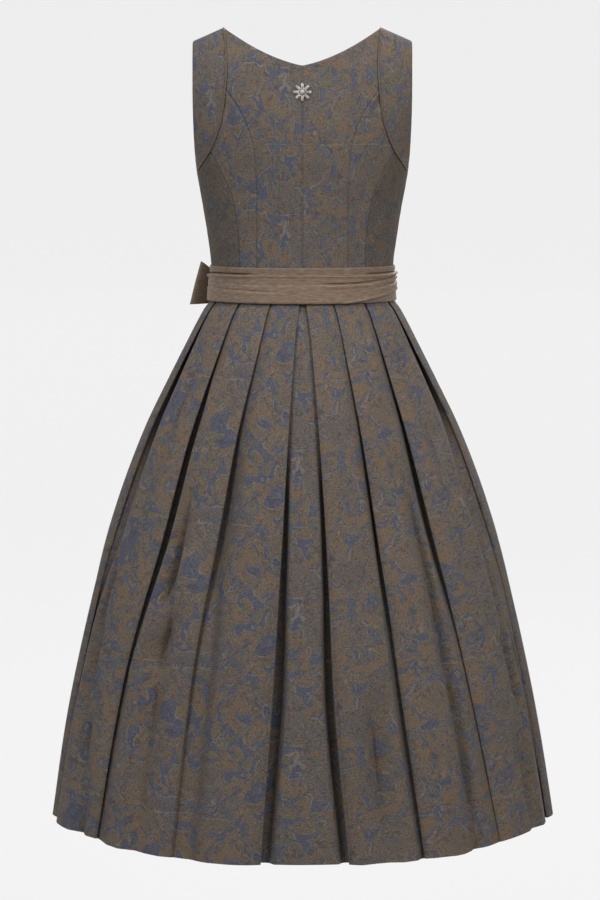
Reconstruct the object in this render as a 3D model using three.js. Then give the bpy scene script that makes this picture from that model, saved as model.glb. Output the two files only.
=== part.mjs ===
// A sleeveless folk dress: a close bodice of shaped panels, a skirt of sixteen laid pleats,
// an apron with its wide ties wound round the waist, and the bow that ends them.
// The dress is hollow, as if worn. Millimetres, +Z up. The back faces -Y, the front faces +Y,
// and the wearer's right is +X. The origin lies midway between the two shoulder straps,
// level with the points where the neckline meets the shoulder seams.
import * as THREE from 'three';

const degrees = Math.PI / 180;

// Cloth thicknesses and seam gaps
const bodiceCloth = 1.4;
const skirtCloth = 1.1;
const tieCloth = 1.3;
const apronCloth = 1.0;
const seamGap = 0.5;
const restGap = 0.35;

// Levels of the garment, measured down from the neck points
const underarmZ = -202.5;
const waistZ = -358;
const hemZ = -1139;
const backNeckZ = -55;
const frontNeckZ = -146.5;
const shoulderTipZ = -19.5;
const armholePrincessZ = -122;

// Half widths at the shoulder seam
const neckHalfWidth = 110.1;
const shoulderHalfWidth = 154.7;

// The rounded top of the straps reaches its full depth this far below the shoulder line
const shoulderRounding = 88;

// Horizontal sections of the bodice: half width, and the depth behind and before the middle
const bodiceForm = [
  { z: 29, halfWidth: 168.6, back: 82, front: 62 },
  { z: -58, halfWidth: 168.6, back: 93, front: 82 },
  { z: -101, halfWidth: 168, back: 101, front: 99 },
  { z: -145.5, halfWidth: 162.9, back: 105, front: 116 },
  { z: -184.5, halfWidth: 152.8, back: 104, front: 128 },
  { z: -202.5, halfWidth: 149.1, back: 102.5, front: 131 },
  { z: -241.5, halfWidth: 142.2, back: 98.5, front: 129 },
  { z: -284, halfWidth: 135.3, back: 95, front: 115 },
  { z: -329.5, halfWidth: 129.1, back: 93, front: 98.5 },
  { z: -358, halfWidth: 127.7, back: 93.6, front: 94 },
];

// Horizontal sections of the skirt at its outer fold edges
const skirtForm = [
  { z: -358, halfWidth: 127.9, depth: 94 },
  { z: -383, halfWidth: 131, depth: 97 },
  { z: -395, halfWidth: 139, depth: 102 },
  { z: -414.5, halfWidth: 149.5, depth: 110 },
  { z: -446.5, halfWidth: 165.1, depth: 121 },
  { z: -496.5, halfWidth: 189.3, depth: 136 },
  { z: -566.5, halfWidth: 222, depth: 154 },
  { z: -657.5, halfWidth: 256.4, depth: 173 },
  { z: -774.5, halfWidth: 291.8, depth: 192 },
  { z: -902.5, halfWidth: 321.6, depth: 207 },
  { z: -1021.5, halfWidth: 345, depth: 218 },
  { z: -1139, halfWidth: 363.8, depth: 227 },
];

// Where the pleat edges run round the skirt, in degrees from the centre back
const rightFolds = [
  { level: 0, fold1: 1.2, fold2: 19.8, fold3: 43.2, fold4: 68.4, fold5: 97.4, fold6: 125.7, fold7: 147, fold8: 166 },
  { level: 0.1, fold1: 4.8, fold2: 21.2, fold3: 42.6, fold4: 73, fold5: 98.5, fold6: 126, fold7: 148, fold8: 167 },
  { level: 0.25, fold1: 6.4, fold2: 22.3, fold3: 42, fold4: 79, fold5: 100, fold6: 127, fold7: 150, fold8: 169 },
  { level: 0.45, fold1: 7.6, fold2: 23.2, fold3: 43, fold4: 79.5, fold5: 101, fold6: 128, fold7: 151, fold8: 171 },
  { level: 0.7, fold1: 8.3, fold2: 25.1, fold3: 46.5, fold4: 80, fold5: 102, fold6: 129, fold7: 153, fold8: 172 },
  { level: 1, fold1: 10.8, fold2: 28.2, fold3: 51, fold4: 81.5, fold5: 103, fold6: 131, fold7: 154, fold8: 173 },
];
const leftFolds = [
  { level: 0, fold1: 1.2, fold2: 19.8, fold3: 42.5, fold4: 68.6, fold5: 97.4, fold6: 125.7, fold7: 147, fold8: 166 },
  { level: 0.1, fold1: 4, fold2: 21.9, fold3: 44.5, fold4: 74.5, fold5: 98.5, fold6: 126, fold7: 148, fold8: 167 },
  { level: 0.25, fold1: 5.4, fold2: 24.6, fold3: 45.6, fold4: 79, fold5: 100, fold6: 127, fold7: 150, fold8: 169 },
  { level: 0.45, fold1: 6.5, fold2: 26.2, fold3: 46.5, fold4: 80.5, fold5: 101, fold6: 128, fold7: 151, fold8: 171 },
  { level: 0.7, fold1: 7.9, fold2: 29, fold3: 51.5, fold4: 81.5, fold5: 102, fold6: 129, fold7: 153, fold8: 172 },
  { level: 1, fold1: 9.7, fold2: 30.5, fold3: 54, fold4: 82.5, fold5: 103, fold6: 131, fold7: 154, fold8: 173 },
];

// The pleats at the waist: the panel that shows after each edge, and the depth laid under it
const pleats = [
  { panel: 41.8, under: 33 },
  { panel: 47.5, under: 38 },
  { panel: 46, under: 36.5 },
  { panel: 51, under: 40.5 },
  { panel: 49, under: 38.5 },
  { panel: 42, under: 28.5 },
  { panel: 41, under: 28 },
  { panel: 31, under: 24 },
];
const pleatLayer = 1.9;       // from one layer of a laid pleat to the next
const skirtFlare = 0.16;      // the panels are cut this much wider at the hem
const centreUnderlay = 1.5;   // from the centre back to the first edge at the waist

// How far the pleats open down the skirt: valley depth, panel bulge, and the softness of an edge
const opening = [
  { level: 0, depth: 3.8, bulge: 0, centre: 3.8, soft: 0, edge: 1.9 },
  { level: 0.045, depth: 5.2, bulge: 0.2, centre: 4.7, soft: 0.1, edge: 2 },
  { level: 0.12, depth: 11, bulge: 1.5, centre: 6, soft: 0.5, edge: 2.2 },
  { level: 0.27, depth: 20, bulge: 3.5, centre: 8, soft: 0.85, edge: 3 },
  { level: 0.5, depth: 28, bulge: 5, centre: 9, soft: 1, edge: 6 },
  { level: 0.75, depth: 30, bulge: 5, centre: 10, soft: 1, edge: 8 },
  { level: 1, depth: 26, bulge: 4.5, centre: 11, soft: 1, edge: 9 },
];

// The hem isn't level all round: it hangs lower at the centre back than at the sides
const hemSwing = [
  { angle: 0, rise: -10 },
  { angle: 20, rise: -8.5 },
  { angle: 35, rise: -5.5 },
  { angle: 48, rise: -0.5 },
  { angle: 60, rise: 5 },
  { angle: 75, rise: 6 },
  { angle: 95, rise: 4 },
  { angle: 120, rise: 0 },
  { angle: 180, rise: 0 },
];
const skirtRows = [-358.35, -383, -395, -414.5, -446.5, -496.5, -566.5, -657.5, -774.5, -902.5, -1021.5, -1139];

// Bodice seam lines as seen from behind or before, half width against height
const backPiping = [
  { z: 0, x: 110.1 },
  { z: -23, x: 106.6 },
  { z: -44.5, x: 104.9 },
  { z: -66, x: 104.8 },
  { z: -86, x: 106.1 },
  { z: -127, x: 111.3 },
  { z: -149.5, x: 118.1 },
  { z: -171, x: 127.6 },
  { z: -188.5, x: 139.5 },
  { z: -202.5, x: 149.1 },
];
const backInnerSeam = [
  { z: -87, x: 106.2 },
  { z: -118.5, x: 85.5 },
  { z: -146.5, x: 73.8 },
  { z: -179, x: 66.4 },
  { z: -243.5, x: 63.7 },
  { z: -358, x: 64.5 },
];
const backOuterSeam = [
  { z: -173, x: 128.7 },
  { z: -190.5, x: 117.8 },
  { z: -207.5, x: 109.5 },
  { z: -236.5, x: 97.8 },
  { z: -284, x: 90 },
  { z: -358, x: 86.3 },
];
const backArmhole = [
  { z: -19.5, x: 154.7 },
  { z: -58, x: 154.4 },
  { z: -101, x: 154.1 },
  { z: -145.5, x: 152.9 },
  { z: -175, x: 151.5 },
  { z: -202.5, x: 149.1 },
];
const frontArmhole = [
  { z: -19.5, x: 154.7 },
  { z: -58, x: 147.2 },
  { z: -101, x: 140.5 },
  { z: -145.5, x: 139.8 },
  { z: -180, x: 144.9 },
  { z: -202.5, x: 149.1 },
];
const frontNeckline = [
  { z: 0, x: 110.1 },
  { z: -38.5, x: 101 },
  { z: -77.5, x: 90.3 },
  { z: -108.5, x: 75.7 },
  { z: -130, x: 53.1 },
  { z: -141.5, x: 25.6 },
  { z: -146.5, x: 0 },
];
const frontPrincess = [
  { z: -122, x: 139.8 },
  { z: -160.5, x: 118.2 },
  { z: -199.5, x: 95.7 },
  { z: -238.5, x: 84.9 },
  { z: -293, x: 75.2 },
  { z: -358, x: 69.4 },
];

// The ties: the height of each soft fold and how far it stands out
const sashFolds = [
  { z: -333.5, out: 0 },
  { z: -338, out: 0.5 },
  { z: -341, out: 0.1 },
  { z: -345, out: 1.5 },
  { z: -354, out: 1.0 },
  { z: -365, out: 1.5 },
  { z: -375, out: 0.9 },
  { z: -383, out: 0.5 },
];
const sashColumns = 40;

// The apron
const apronTopZ = -344;
const apronHemZ = -1094;
const apronWaves = 14;
const apronRows = [-344, -383, -406.5, -456.5, -551.5, -713.5, -902.5, -1094];
const apronEdge = [
  { z: -344, angle: 62 },
  { z: -406.5, angle: 60 },
  { z: -551.5, angle: 56 },
  { z: -1094, angle: 54 },
];
const apronStand = [
  { z: -344, out: 3.7, wave: 2.0 },
  { z: -383, out: 4.2, wave: 2.2 },
  { z: -406.5, out: 7.2, wave: 3.0 },
  { z: -551.5, out: 12.5, wave: 4.2 },
  { z: -1094, out: 13.5, wave: 5.0 },
];

// The bow at the wearer's left front
const bowAngle = -141;
const bowZ = -379;
const bowTilt = 21;
const loopLength = 66;
const tailLength = 360;

// The button stand and its buttons
const standHalfWidth = 12;
const buttonCount = 6;
const buttonTopZ = -161.5;
const buttonStep = 31.5;
const buttonRadius = 6.5;

// The cast ornament on the centre back seam
const ornamentZ = -92;
const ornamentRadius = 13;
const ornamentPetals = 8;

const cloth = new THREE.MeshStandardMaterial({ color: 0x5f564f, roughness: 0.85, metalness: 0 });
const sideCloth = new THREE.MeshStandardMaterial({ color: 0x584f48, roughness: 0.85, metalness: 0 });
const tieFabric = new THREE.MeshStandardMaterial({ color: 0x8a735d, roughness: 0.6, metalness: 0 });
const pipingFabric = new THREE.MeshStandardMaterial({ color: 0x4d4035, roughness: 0.7, metalness: 0 });
const silver = new THREE.MeshStandardMaterial({ color: 0xb4aea6, roughness: 0.35, metalness: 1 });

const mix = (a, b, share) => a + (b - a) * share;
const clamp = (value, low, high) => Math.min(high, Math.max(low, value));
const smooth = (share) => {
  const s = clamp(share, 0, 1);
  return s * s * (3 - 2 * s);
};

// A smooth curve through one column of a table, with no overshoot between its rows
function lookUp(table, key, value, column) {
  const last = table.length - 1;
  const rising = table[last][key] > table[0][key];
  let i = 0;
  while (i < last - 1 && (rising ? value > table[i + 1][key] : value < table[i + 1][key])) i += 1;
  const slope = (a) => (table[a + 1][column] - table[a][column]) / (table[a + 1][key] - table[a][key]);
  const mean = (p, q) => (p * q <= 0 ? 0 : (2 * p * q) / (p + q));
  const span = table[i + 1][key] - table[i][key];
  const s = clamp((value - table[i][key]) / span, 0, 1);
  const here = slope(i);
  const start = i > 0 ? mean(slope(i - 1), here) : here;
  const end = i < last - 1 ? mean(here, slope(i + 1)) : here;
  const rise = table[i + 1][column] - table[i][column];
  const cubic = (start + end) * span - 2 * rise;
  const square = 3 * rise - (2 * start + end) * span;
  return table[i][column] + s * (start * span + s * (square + s * cubic));
}

// The line over the shoulders, and a point of the bodice form
const shoulderSlope = -shoulderTipZ / (shoulderHalfWidth - neckHalfWidth);
const shoulderLine = (x) => (neckHalfWidth - Math.abs(x)) * shoulderSlope;

function bodicePoint(angle, z) {
  const x = lookUp(bodiceForm, 'z', z, 'halfWidth') * Math.sin(angle);
  const depth = lookUp(bodiceForm, 'z', z, Math.cos(angle) > 0 ? 'back' : 'front');
  const drop = clamp((shoulderLine(x) - z) / shoulderRounding, 0, 1);
  const closing = Math.sqrt(1 - (1 - drop) ** 2);
  return new THREE.Vector3(x, -depth * Math.cos(angle) * closing, z);
}

function bodiceNormal(angle, z) {
  const step = 0.002;
  const x = lookUp(bodiceForm, 'z', z, 'halfWidth') * Math.sin(angle);
  const top = Math.min(z + 0.4, shoulderLine(x) - 0.02);
  const across = bodicePoint(angle + step, z).sub(bodicePoint(angle - step, z));
  const down = bodicePoint(angle, top).sub(bodicePoint(angle, top - 0.8));
  return across.cross(down).normalize();
}

function angleAt(line, z, front) {
  const share = lookUp(line, 'z', z, 'x') / lookUp(bodiceForm, 'z', z, 'halfWidth');
  const angle = Math.asin(Math.min(1, share));
  return front ? Math.PI - angle : angle;
}

// A point of the skirt form, moved out from it by a distance in the horizontal plane
function skirtPoint(angle, z, out) {
  const halfWidth = lookUp(skirtForm, 'z', z, 'halfWidth');
  const depth = lookUp(skirtForm, 'z', z, 'depth');
  const normal = new THREE.Vector3(depth * Math.sin(angle), -halfWidth * Math.cos(angle), 0).normalize();
  return new THREE.Vector3(halfWidth * Math.sin(angle), -depth * Math.cos(angle), z).addScaledVector(normal, out);
}

// A closed wall on a grid of middle points, each with its own outward direction
function wallGeometry(grid, thickness, ring) {
  const rows = grid.length;
  const columns = grid[0].length;
  const positions = [];
  for (const half of [thickness / 2, -thickness / 2]) {
    for (const row of grid) {
      for (const { point, normal } of row) positions.push(...point.clone().addScaledVector(normal, half).toArray());
    }
  }
  const at = (layer, j, i) => layer * rows * columns + j * columns + (i % columns);
  const faces = [];
  const quad = (a, b, c, d) => faces.push(a, b, c, a, c, d);
  const spans = ring ? columns : columns - 1;
  for (let j = 0; j < rows - 1; j += 1) {
    for (let i = 0; i < spans; i += 1) {
      quad(at(0, j, i), at(0, j + 1, i), at(0, j + 1, i + 1), at(0, j, i + 1));
      quad(at(1, j, i), at(1, j, i + 1), at(1, j + 1, i + 1), at(1, j + 1, i));
    }
    if (!ring) {
      quad(at(0, j, 0), at(1, j, 0), at(1, j + 1, 0), at(0, j + 1, 0));
      const end = columns - 1;
      quad(at(0, j, end), at(0, j + 1, end), at(1, j + 1, end), at(1, j, end));
    }
  }
  for (let i = 0; i < spans; i += 1) {
    const end = rows - 1;
    quad(at(0, 0, i), at(0, 0, i + 1), at(1, 0, i + 1), at(1, 0, i));
    quad(at(0, end, i), at(1, end, i), at(1, end, i + 1), at(0, end, i + 1));
  }
  return facingOut(positions, faces);
}

// The same faces, turned about where their volume comes out negative
function facingOut(positions, faces) {
  const corner = (n) => new THREE.Vector3().fromArray(positions, 3 * n);
  let volume = 0;
  for (let f = 0; f < faces.length; f += 3) {
    volume += corner(faces[f]).dot(corner(faces[f + 1]).cross(corner(faces[f + 2])));
  }
  const index = [];
  for (let f = 0; f < faces.length; f += 3) {
    const [a, b, c] = [faces[f], faces[f + 1], faces[f + 2]];
    index.push(...(volume > 0 ? [a, b, c] : [a, c, b]));
  }
  const geometry = new THREE.BufferGeometry();
  geometry.setAttribute('position', new THREE.Float32BufferAttribute(positions, 3));
  geometry.setIndex(index);
  geometry.computeVertexNormals();
  return geometry;
}

// Outward directions for a grid of bare points, from its own slopes
function withNormals(points, ring) {
  const rows = points.length;
  const columns = points[0].length;
  return points.map((row, j) => row.map((point, i) => {
    const left = ring ? (i + columns - 1) % columns : Math.max(i - 1, 0);
    const right = ring ? (i + 1) % columns : Math.min(i + 1, columns - 1);
    const across = row[right].clone().sub(row[left]);
    const down = points[Math.min(j + 1, rows - 1)][i].clone().sub(points[Math.max(j - 1, 0)][i]);
    return { point, normal: across.cross(down).normalize().negate() };
  }));
}

const dress = new THREE.Group();

function addPiece(name, geometry, material) {
  const mesh = new THREE.Mesh(geometry, material);
  mesh.name = name;
  dress.add(mesh);
}

const mirrored = (entry, side) => ({
  point: new THREE.Vector3(side * entry.point.x, entry.point.y, entry.point.z),
  normal: new THREE.Vector3(side * entry.normal.x, entry.normal.y, entry.normal.z),
});

// Heights shared by the two panels that meet at a seam
const shoulderLevels = [0, -1.2, -5, -12, -22, -35, -50.5, -68];
const pipingLevels = [...shoulderLevels, -87, -107.5, -127, -149.5, -173, -188.5, underarmZ];
const innerLevels = [-87, -103, -118.5, -146.5, -179, -194.5, -211, -243.5, -293, -329.5, waistZ];
const outerLevels = [-173, -190.5, -207.5, -236.5, -284, -329.5, waistZ];
const sideLevels = [underarmZ, -236.5, -284, -329.5, waistZ];
const bustLevels = [-199.5, -219, -238.5, -265, -293, -310.5, -329.5, waistZ];
const princessLevels = [armholePrincessZ, -136, -147.5, -159.5, -175, ...bustLevels];
const neckLevels = [...shoulderLevels, -87, -108.5, -130, -141.5, frontNeckZ];
const armholeLevels = shoulderLevels.map((z) => z * 0.98 + shoulderTipZ);

// A seam as straight runs between its shared heights, as an angle round the form
function seam(line, levels, front) {
  const angles = levels.map((z) => angleAt(line, z, front));
  return (z) => {
    let i = 0;
    while (i < levels.length - 2 && z < levels[i + 1]) i += 1;
    return mix(angles[i], angles[i + 1], (z - levels[i]) / (levels[i + 1] - levels[i]));
  };
}

// A bodice panel between two seams, cut short of each by half the seam gap
function bodiceGrid({ left, right, leftSeam, rightSeam, columns, crowd = 1, dip = 0, lift = 0 }) {
  return left.map((leftZ, j) => {
    const rightZ = right[j];
    const inset = (line, z) => {
      const angle = line(z);
      const halfWidth = lookUp(bodiceForm, 'z', z, 'halfWidth');
      const depth = lookUp(bodiceForm, 'z', z, Math.cos(angle) > 0 ? 'back' : 'front');
      const speed = Math.hypot(halfWidth * Math.cos(angle), depth * Math.sin(angle));
      const slant = Math.min(2.5, Math.abs(line(z + 1) - line(z - 1)) * speed / 2);
      return ((seamGap / 2) * Math.hypot(1, slant)) / speed;
    };
    const [from, to] = [leftSeam(leftZ), rightSeam(rightZ)];
    const turn = Math.sign(to - from);
    const start = from + turn * inset(leftSeam, leftZ);
    const end = to - turn * inset(rightSeam, rightZ);
    const form = (z) => lookUp(bodiceForm, 'z', z, 'halfWidth');
    const lines = [shoulderLine(form(leftZ) * Math.sin(from)), shoulderLine(form(rightZ) * Math.sin(to))];
    const crown = 1 - smooth((lines[0] - leftZ) / 130);
    const sag = dip * (1 - smooth((left[0] - leftZ) / 150));
    return Array.from({ length: columns + 1 }, (_, i) => {
      const share = 1 - (1 - i / columns) ** crowd;
      const angle = mix(start, end, share);
      const straight = mix(leftZ, rightZ, share);
      const arch = shoulderLine(form(straight) * Math.sin(angle)) - mix(lines[0], lines[1], share);
      const neck = share * (shoulderLine(form(rightZ) * Math.sin(end)) - lines[1]);
      const z = straight + (dip ? crown * neck - sag * Math.sin(Math.PI * share ** 0.8) : crown * arch);
      const normal = bodiceNormal(angle, z);
      return { point: bodicePoint(angle, z).addScaledVector(normal, lift), normal };
    });
  });
}

const shoulderInset = 0.001;
const underShoulder = (levels) => levels.map((z, n) => (n === 0 ? z - shoulderInset : z));
const centreBack = () => 0;
const centreFront = () => Math.PI;
const sideSeam = () => Math.PI / 2;
const piping = seam(backPiping, pipingLevels, false);
const innerSeam = seam(backInnerSeam, innerLevels, false);
const outerSeam = seam(backOuterSeam, outerLevels, false);
const princess = seam(frontPrincess, princessLevels, true);
const neckline = seam(frontNeckline, neckLevels, true);
const armholeFront = (z) => angleAt(frontArmhole, z, true);
const armholeBack = (z) => angleAt(backArmhole, z, false);
const joined = (upper, lower, z0) => (z) => (z > z0 ? upper(z) : lower(z));

const panels = [
  {
    name: 'back_centre',
    columns: 6,
    crowd: 1.5,
    dip: 6.5,
    leftSeam: centreBack,
    rightSeam: joined(piping, innerSeam, innerLevels[0]),
    left: [backNeckZ, -56.5, -59, -62.5, -67, -72.5, -79.5, -86, -95, -108.5, -124, -149.5, ...innerLevels.slice(4)],
    right: [...underShoulder(shoulderLevels), ...innerLevels],
  },
  {
    name: 'back_middle',
    columns: 3,
    leftSeam: innerSeam,
    rightSeam: joined(piping, outerSeam, outerLevels[0]),
    left: [-95, ...innerLevels.slice(1)],
    right: [-91.5, -107.5, -127, -149.5, ...outerLevels],
  },
  {
    name: 'back_side',
    columns: 5,
    leftSeam: outerSeam,
    rightSeam: joined(piping, sideSeam, underarmZ),
    left: [-181, ...outerLevels.slice(1)],
    right: [-176.5, -188.5, ...sideLevels],
  },
  {
    name: 'yoke_back',
    columns: 3,
    leftSeam: piping,
    rightSeam: armholeBack,
    left: [...underShoulder(shoulderLevels), ...pipingLevels.slice(8, -1), -195.5],
    right: [...underShoulder(armholeLevels), -104.5, -122, -139, -156.5, -175, -188.5, -195.5],
  },
  {
    name: 'front',
    columns: 5,
    leftSeam: joined(neckline, centreFront, frontNeckZ),
    rightSeam: joined(armholeFront, princess, armholePrincessZ),
    left: [...underShoulder(neckLevels), -173, ...bustLevels],
    right: [...underShoulder(armholeLevels), -103.5, ...princessLevels],
  },
  {
    name: 'front_side',
    columns: 5,
    leftSeam: princess,
    rightSeam: joined(armholeFront, sideSeam, underarmZ),
    left: [-129, ...princessLevels.slice(1)],
    right: [-126, -137, -148.5, -162, -181, underarmZ, -226, -255.5, -284, -298.5, -314.5, -329.5, waistZ],
  },
];

for (const panel of panels) {
  for (const [label, side] of [['left', -1], ['right', 1]]) {
    const grid = bodiceGrid(panel).map((row) => row.map((entry) => mirrored(entry, side)));
    const material = panel.name === 'back_side' || panel.name === 'front_side' ? sideCloth : cloth;
    addPiece(`${panel.name}_${label}`, wallGeometry(grid, bodiceCloth, false), material);
  }
}

// The corded piping laid over the curved back seam
const pipingRadius = 1.4;
const pipingFrom = -1.5;
const pipingTo = -194.5;
const pipingSides = 6;

function tubeGeometry(points, normals, radius, sides) {
  const positions = [];
  const faces = [];
  points.forEach((point, n) => {
    const ahead = points[Math.min(n + 1, points.length - 1)].clone().sub(points[Math.max(n - 1, 0)]).normalize();
    const out = normals[n].clone().addScaledVector(ahead, -normals[n].dot(ahead)).normalize();
    const aside = ahead.clone().cross(out);
    for (let s = 0; s < sides; s += 1) {
      const turn = (2 * Math.PI * s) / sides;
      const offset = out.clone().multiplyScalar(Math.cos(turn)).addScaledVector(aside, Math.sin(turn));
      positions.push(...point.clone().addScaledVector(offset, radius).toArray());
    }
  });
  const at = (n, s) => n * sides + (s % sides);
  for (let s = 0; s < sides; s += 1) {
    for (let n = 0; n < points.length - 1; n += 1) {
      faces.push(at(n, s), at(n, s + 1), at(n + 1, s + 1), at(n, s), at(n + 1, s + 1), at(n + 1, s));
    }
  }
  for (let s = 1; s < sides - 1; s += 1) {
    faces.push(at(0, 0), at(0, s + 1), at(0, s));
    faces.push(at(points.length - 1, 0), at(points.length - 1, s), at(points.length - 1, s + 1));
  }
  return facingOut(positions, faces);
}

const pipingPath = [pipingFrom, ...pipingLevels.slice(2, -1), pipingTo].map((z) => {
  const angle = piping(z);
  return { point: bodicePoint(angle, z), normal: bodiceNormal(angle, z) };
});
for (const [label, side] of [['left', -1], ['right', 1]]) {
  const path = pipingPath.map((entry) => mirrored(entry, side));
  const lift = bodiceCloth / 2 + restGap + 0.25 + pipingRadius;
  const points = path.map(({ point, normal }) => point.addScaledVector(normal, lift));
  const geometry = tubeGeometry(points, path.map(({ normal }) => normal), pipingRadius, pipingSides);
  addPiece(`piping_${label}`, geometry, pipingFabric);
}

// The button stand over the centre front, from its neckline to the waist
const standThickness = 1.2;
const standLift = bodiceCloth / 2 + restGap + standThickness / 2;
const standEdge = (sign) => (z) => Math.PI + sign * Math.asin(standHalfWidth / lookUp(bodiceForm, 'z', z, 'halfWidth'));
const standLevels = [frontNeckZ - 0.5, -173, ...bustLevels.slice(0, -1)];
const standGrid = bodiceGrid({
  columns: 3,
  leftSeam: standEdge(1),
  rightSeam: standEdge(-1),
  left: standLevels,
  right: standLevels,
  lift: standLift,
});
addPiece('button_stand', wallGeometry(standGrid, standThickness, false), cloth);

// Domed metal buttons on the stand
const buttonProfile = [
  new THREE.Vector2(0, 0),
  new THREE.Vector2(buttonRadius - 1, 0),
  new THREE.Vector2(buttonRadius, 0.9),
  new THREE.Vector2(buttonRadius * 0.62, 2.4),
  new THREE.Vector2(0, 3),
];
const standFace = standThickness / 2 + restGap;
const standMiddle = standGrid.map((row) => row[1].point.clone().add(row[2].point).multiplyScalar(0.5));
for (let n = 0; n < buttonCount; n += 1) {
  const z = buttonTopZ - n * buttonStep;
  const below = standMiddle.findIndex((point) => point.z < z);
  const run = standMiddle[below].clone().sub(standMiddle[below - 1]);
  const place = standMiddle[below - 1].clone().addScaledVector(run, (z - standMiddle[below - 1].z) / run.z);
  const normal = new THREE.Vector3(0, -run.z, run.y).normalize();
  const geometry = new THREE.LatheGeometry(buttonProfile, 12);
  geometry.deleteAttribute('normal');
  geometry.deleteAttribute('uv');
  const mesh = new THREE.Mesh(geometry, silver);
  mesh.name = `button_${n + 1}`;
  mesh.position.copy(place.addScaledVector(normal, standFace));
  mesh.quaternion.setFromUnitVectors(new THREE.Vector3(0, 1, 0), normal);
  dress.add(mesh);
}

// A cast flower with pointed petals round a raised eye
function ornamentGeometry() {
  const ring = (radius, height, count) => Array.from({ length: count }, (_, n) => {
    const turn = (2 * Math.PI * n) / count;
    return [radius(n) * Math.cos(turn), radius(n) * Math.sin(turn), height(n)];
  });
  const points = 2 * ornamentPetals;
  const petal = (n) => (n % 2 === 0 ? ornamentRadius : ornamentRadius * 0.5);
  const layers = [
    ring(petal, () => 0, points),
    ring((n) => petal(n) * 0.96, (n) => (n % 2 === 0 ? 0.9 : 0.7), points),
    ring((n) => (n % 2 === 0 ? 7 : 5.2), (n) => (n % 2 === 0 ? 2.0 : 1.0), points),
    ring(() => 3.6, () => 1.5, points),
    ring(() => 3.2, () => 3.0, points),
  ];
  const positions = layers.flat(2);
  const low = positions.length / 3;
  positions.push(0, 0, 0, 0, 0, 3.5);
  const faces = [];
  for (let n = 0; n < points; n += 1) {
    const next = (n + 1) % points;
    faces.push(low, next, n);
    for (let layer = 0; layer < layers.length - 1; layer += 1) {
      const [a, b] = [layer * points, (layer + 1) * points];
      faces.push(a + n, a + next, b + next, a + n, b + next, b + n);
    }
    const top = (layers.length - 1) * points;
    faces.push(top + n, top + next, low + 1);
  }
  return facingOut(positions, faces);
}

const ornament = new THREE.Mesh(ornamentGeometry(), silver);
const ornamentNormal = bodiceNormal(0, ornamentZ);
ornament.name = 'ornament';
ornament.quaternion.setFromUnitVectors(new THREE.Vector3(0, 0, 1), ornamentNormal);
ornament.position.copy(bodicePoint(0, ornamentZ).addScaledVector(ornamentNormal, bodiceCloth / 2 + restGap));
dress.add(ornament);

// The skirt: the path of the cloth through one pleat, from its edge to the next one.
// The inner fold lies on the ellipse that keeps the length of the cloth between the two edges.
function pleatPath(pitch, clothLength, state) {
  const length = Math.max(clothLength, pitch * 1.015);
  const reach = Math.sqrt(length ** 2 - pitch ** 2) / 2;
  const depth = Math.min(state.depth, reach * 0.9);
  const inner = pitch / 2 + (length / 2) * Math.sqrt(1 - (depth / reach) ** 2);
  const layer = Math.min(pleatLayer, depth / 2);
  const turnIn = mix(pitch - 6.5, pitch * 0.42, state.soft);
  const turnedIn = Math.min(mix(pitch - 0.9, inner, state.soft), inner);
  const sink = (along) => {
    const share = smooth((along - turnIn) / (turnedIn - turnIn));
    return depth * share - state.bulge * Math.sin((Math.PI * Math.min(along, pitch)) / pitch);
  };
  const under = mix(pitch - 0.9, mix(turnIn, inner, 0.62), state.soft);
  const beyond = mix((pitch + inner) / 2, mix(turnIn, inner, 0.84), state.soft);
  return [
    { along: 0, sink: 0 },
    { along: turnIn * 0.32, sink: sink(turnIn * 0.32) },
    { along: turnIn * 0.66, sink: sink(turnIn * 0.66) },
    { along: turnIn, sink: sink(turnIn) },
    { along: under, sink: sink(under) },
    { along: beyond, sink: Math.max(sink(beyond), sink(under)) },
    { along: inner, sink: depth },
    { along: inner, sink: depth - layer },
    { along: mix(inner, pitch, 0.5), sink: mix(depth - layer, state.edge, 0.5) },
    { along: pitch, sink: Math.min(state.edge, Math.max(depth - layer, layer)) },
  ];
}

// The cloth at the centre back, from the middle of the underlay to the first edge
function centrePath(pitch, clothLength, state) {
  const start = state.centre;
  const depth = Math.max(state.depth * 0.85, start);
  const lengthFor = (inner) => Math.hypot(inner, depth - start) + Math.hypot(inner - pitch, depth);
  let low = pitch * 0.5;
  let high = clothLength;
  for (let n = 0; n < 40; n += 1) {
    const middle = (low + high) / 2;
    if (lengthFor(middle) > clothLength) high = middle;
    else low = middle;
  }
  const inner = low;
  const layer = Math.min(pleatLayer, depth / 2);
  return [
    { along: 0, sink: start },
    { along: inner * 0.45, sink: mix(start, depth, 0.2) },
    { along: inner * 0.8, sink: mix(start, depth, 0.72) },
    { along: inner, sink: depth },
    { along: inner, sink: depth - layer },
    { along: mix(inner, pitch, 0.5), sink: mix(depth - layer, state.edge, 0.5) },
    { along: pitch, sink: Math.min(state.edge, Math.max(depth - layer, layer)) },
  ];
}

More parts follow.
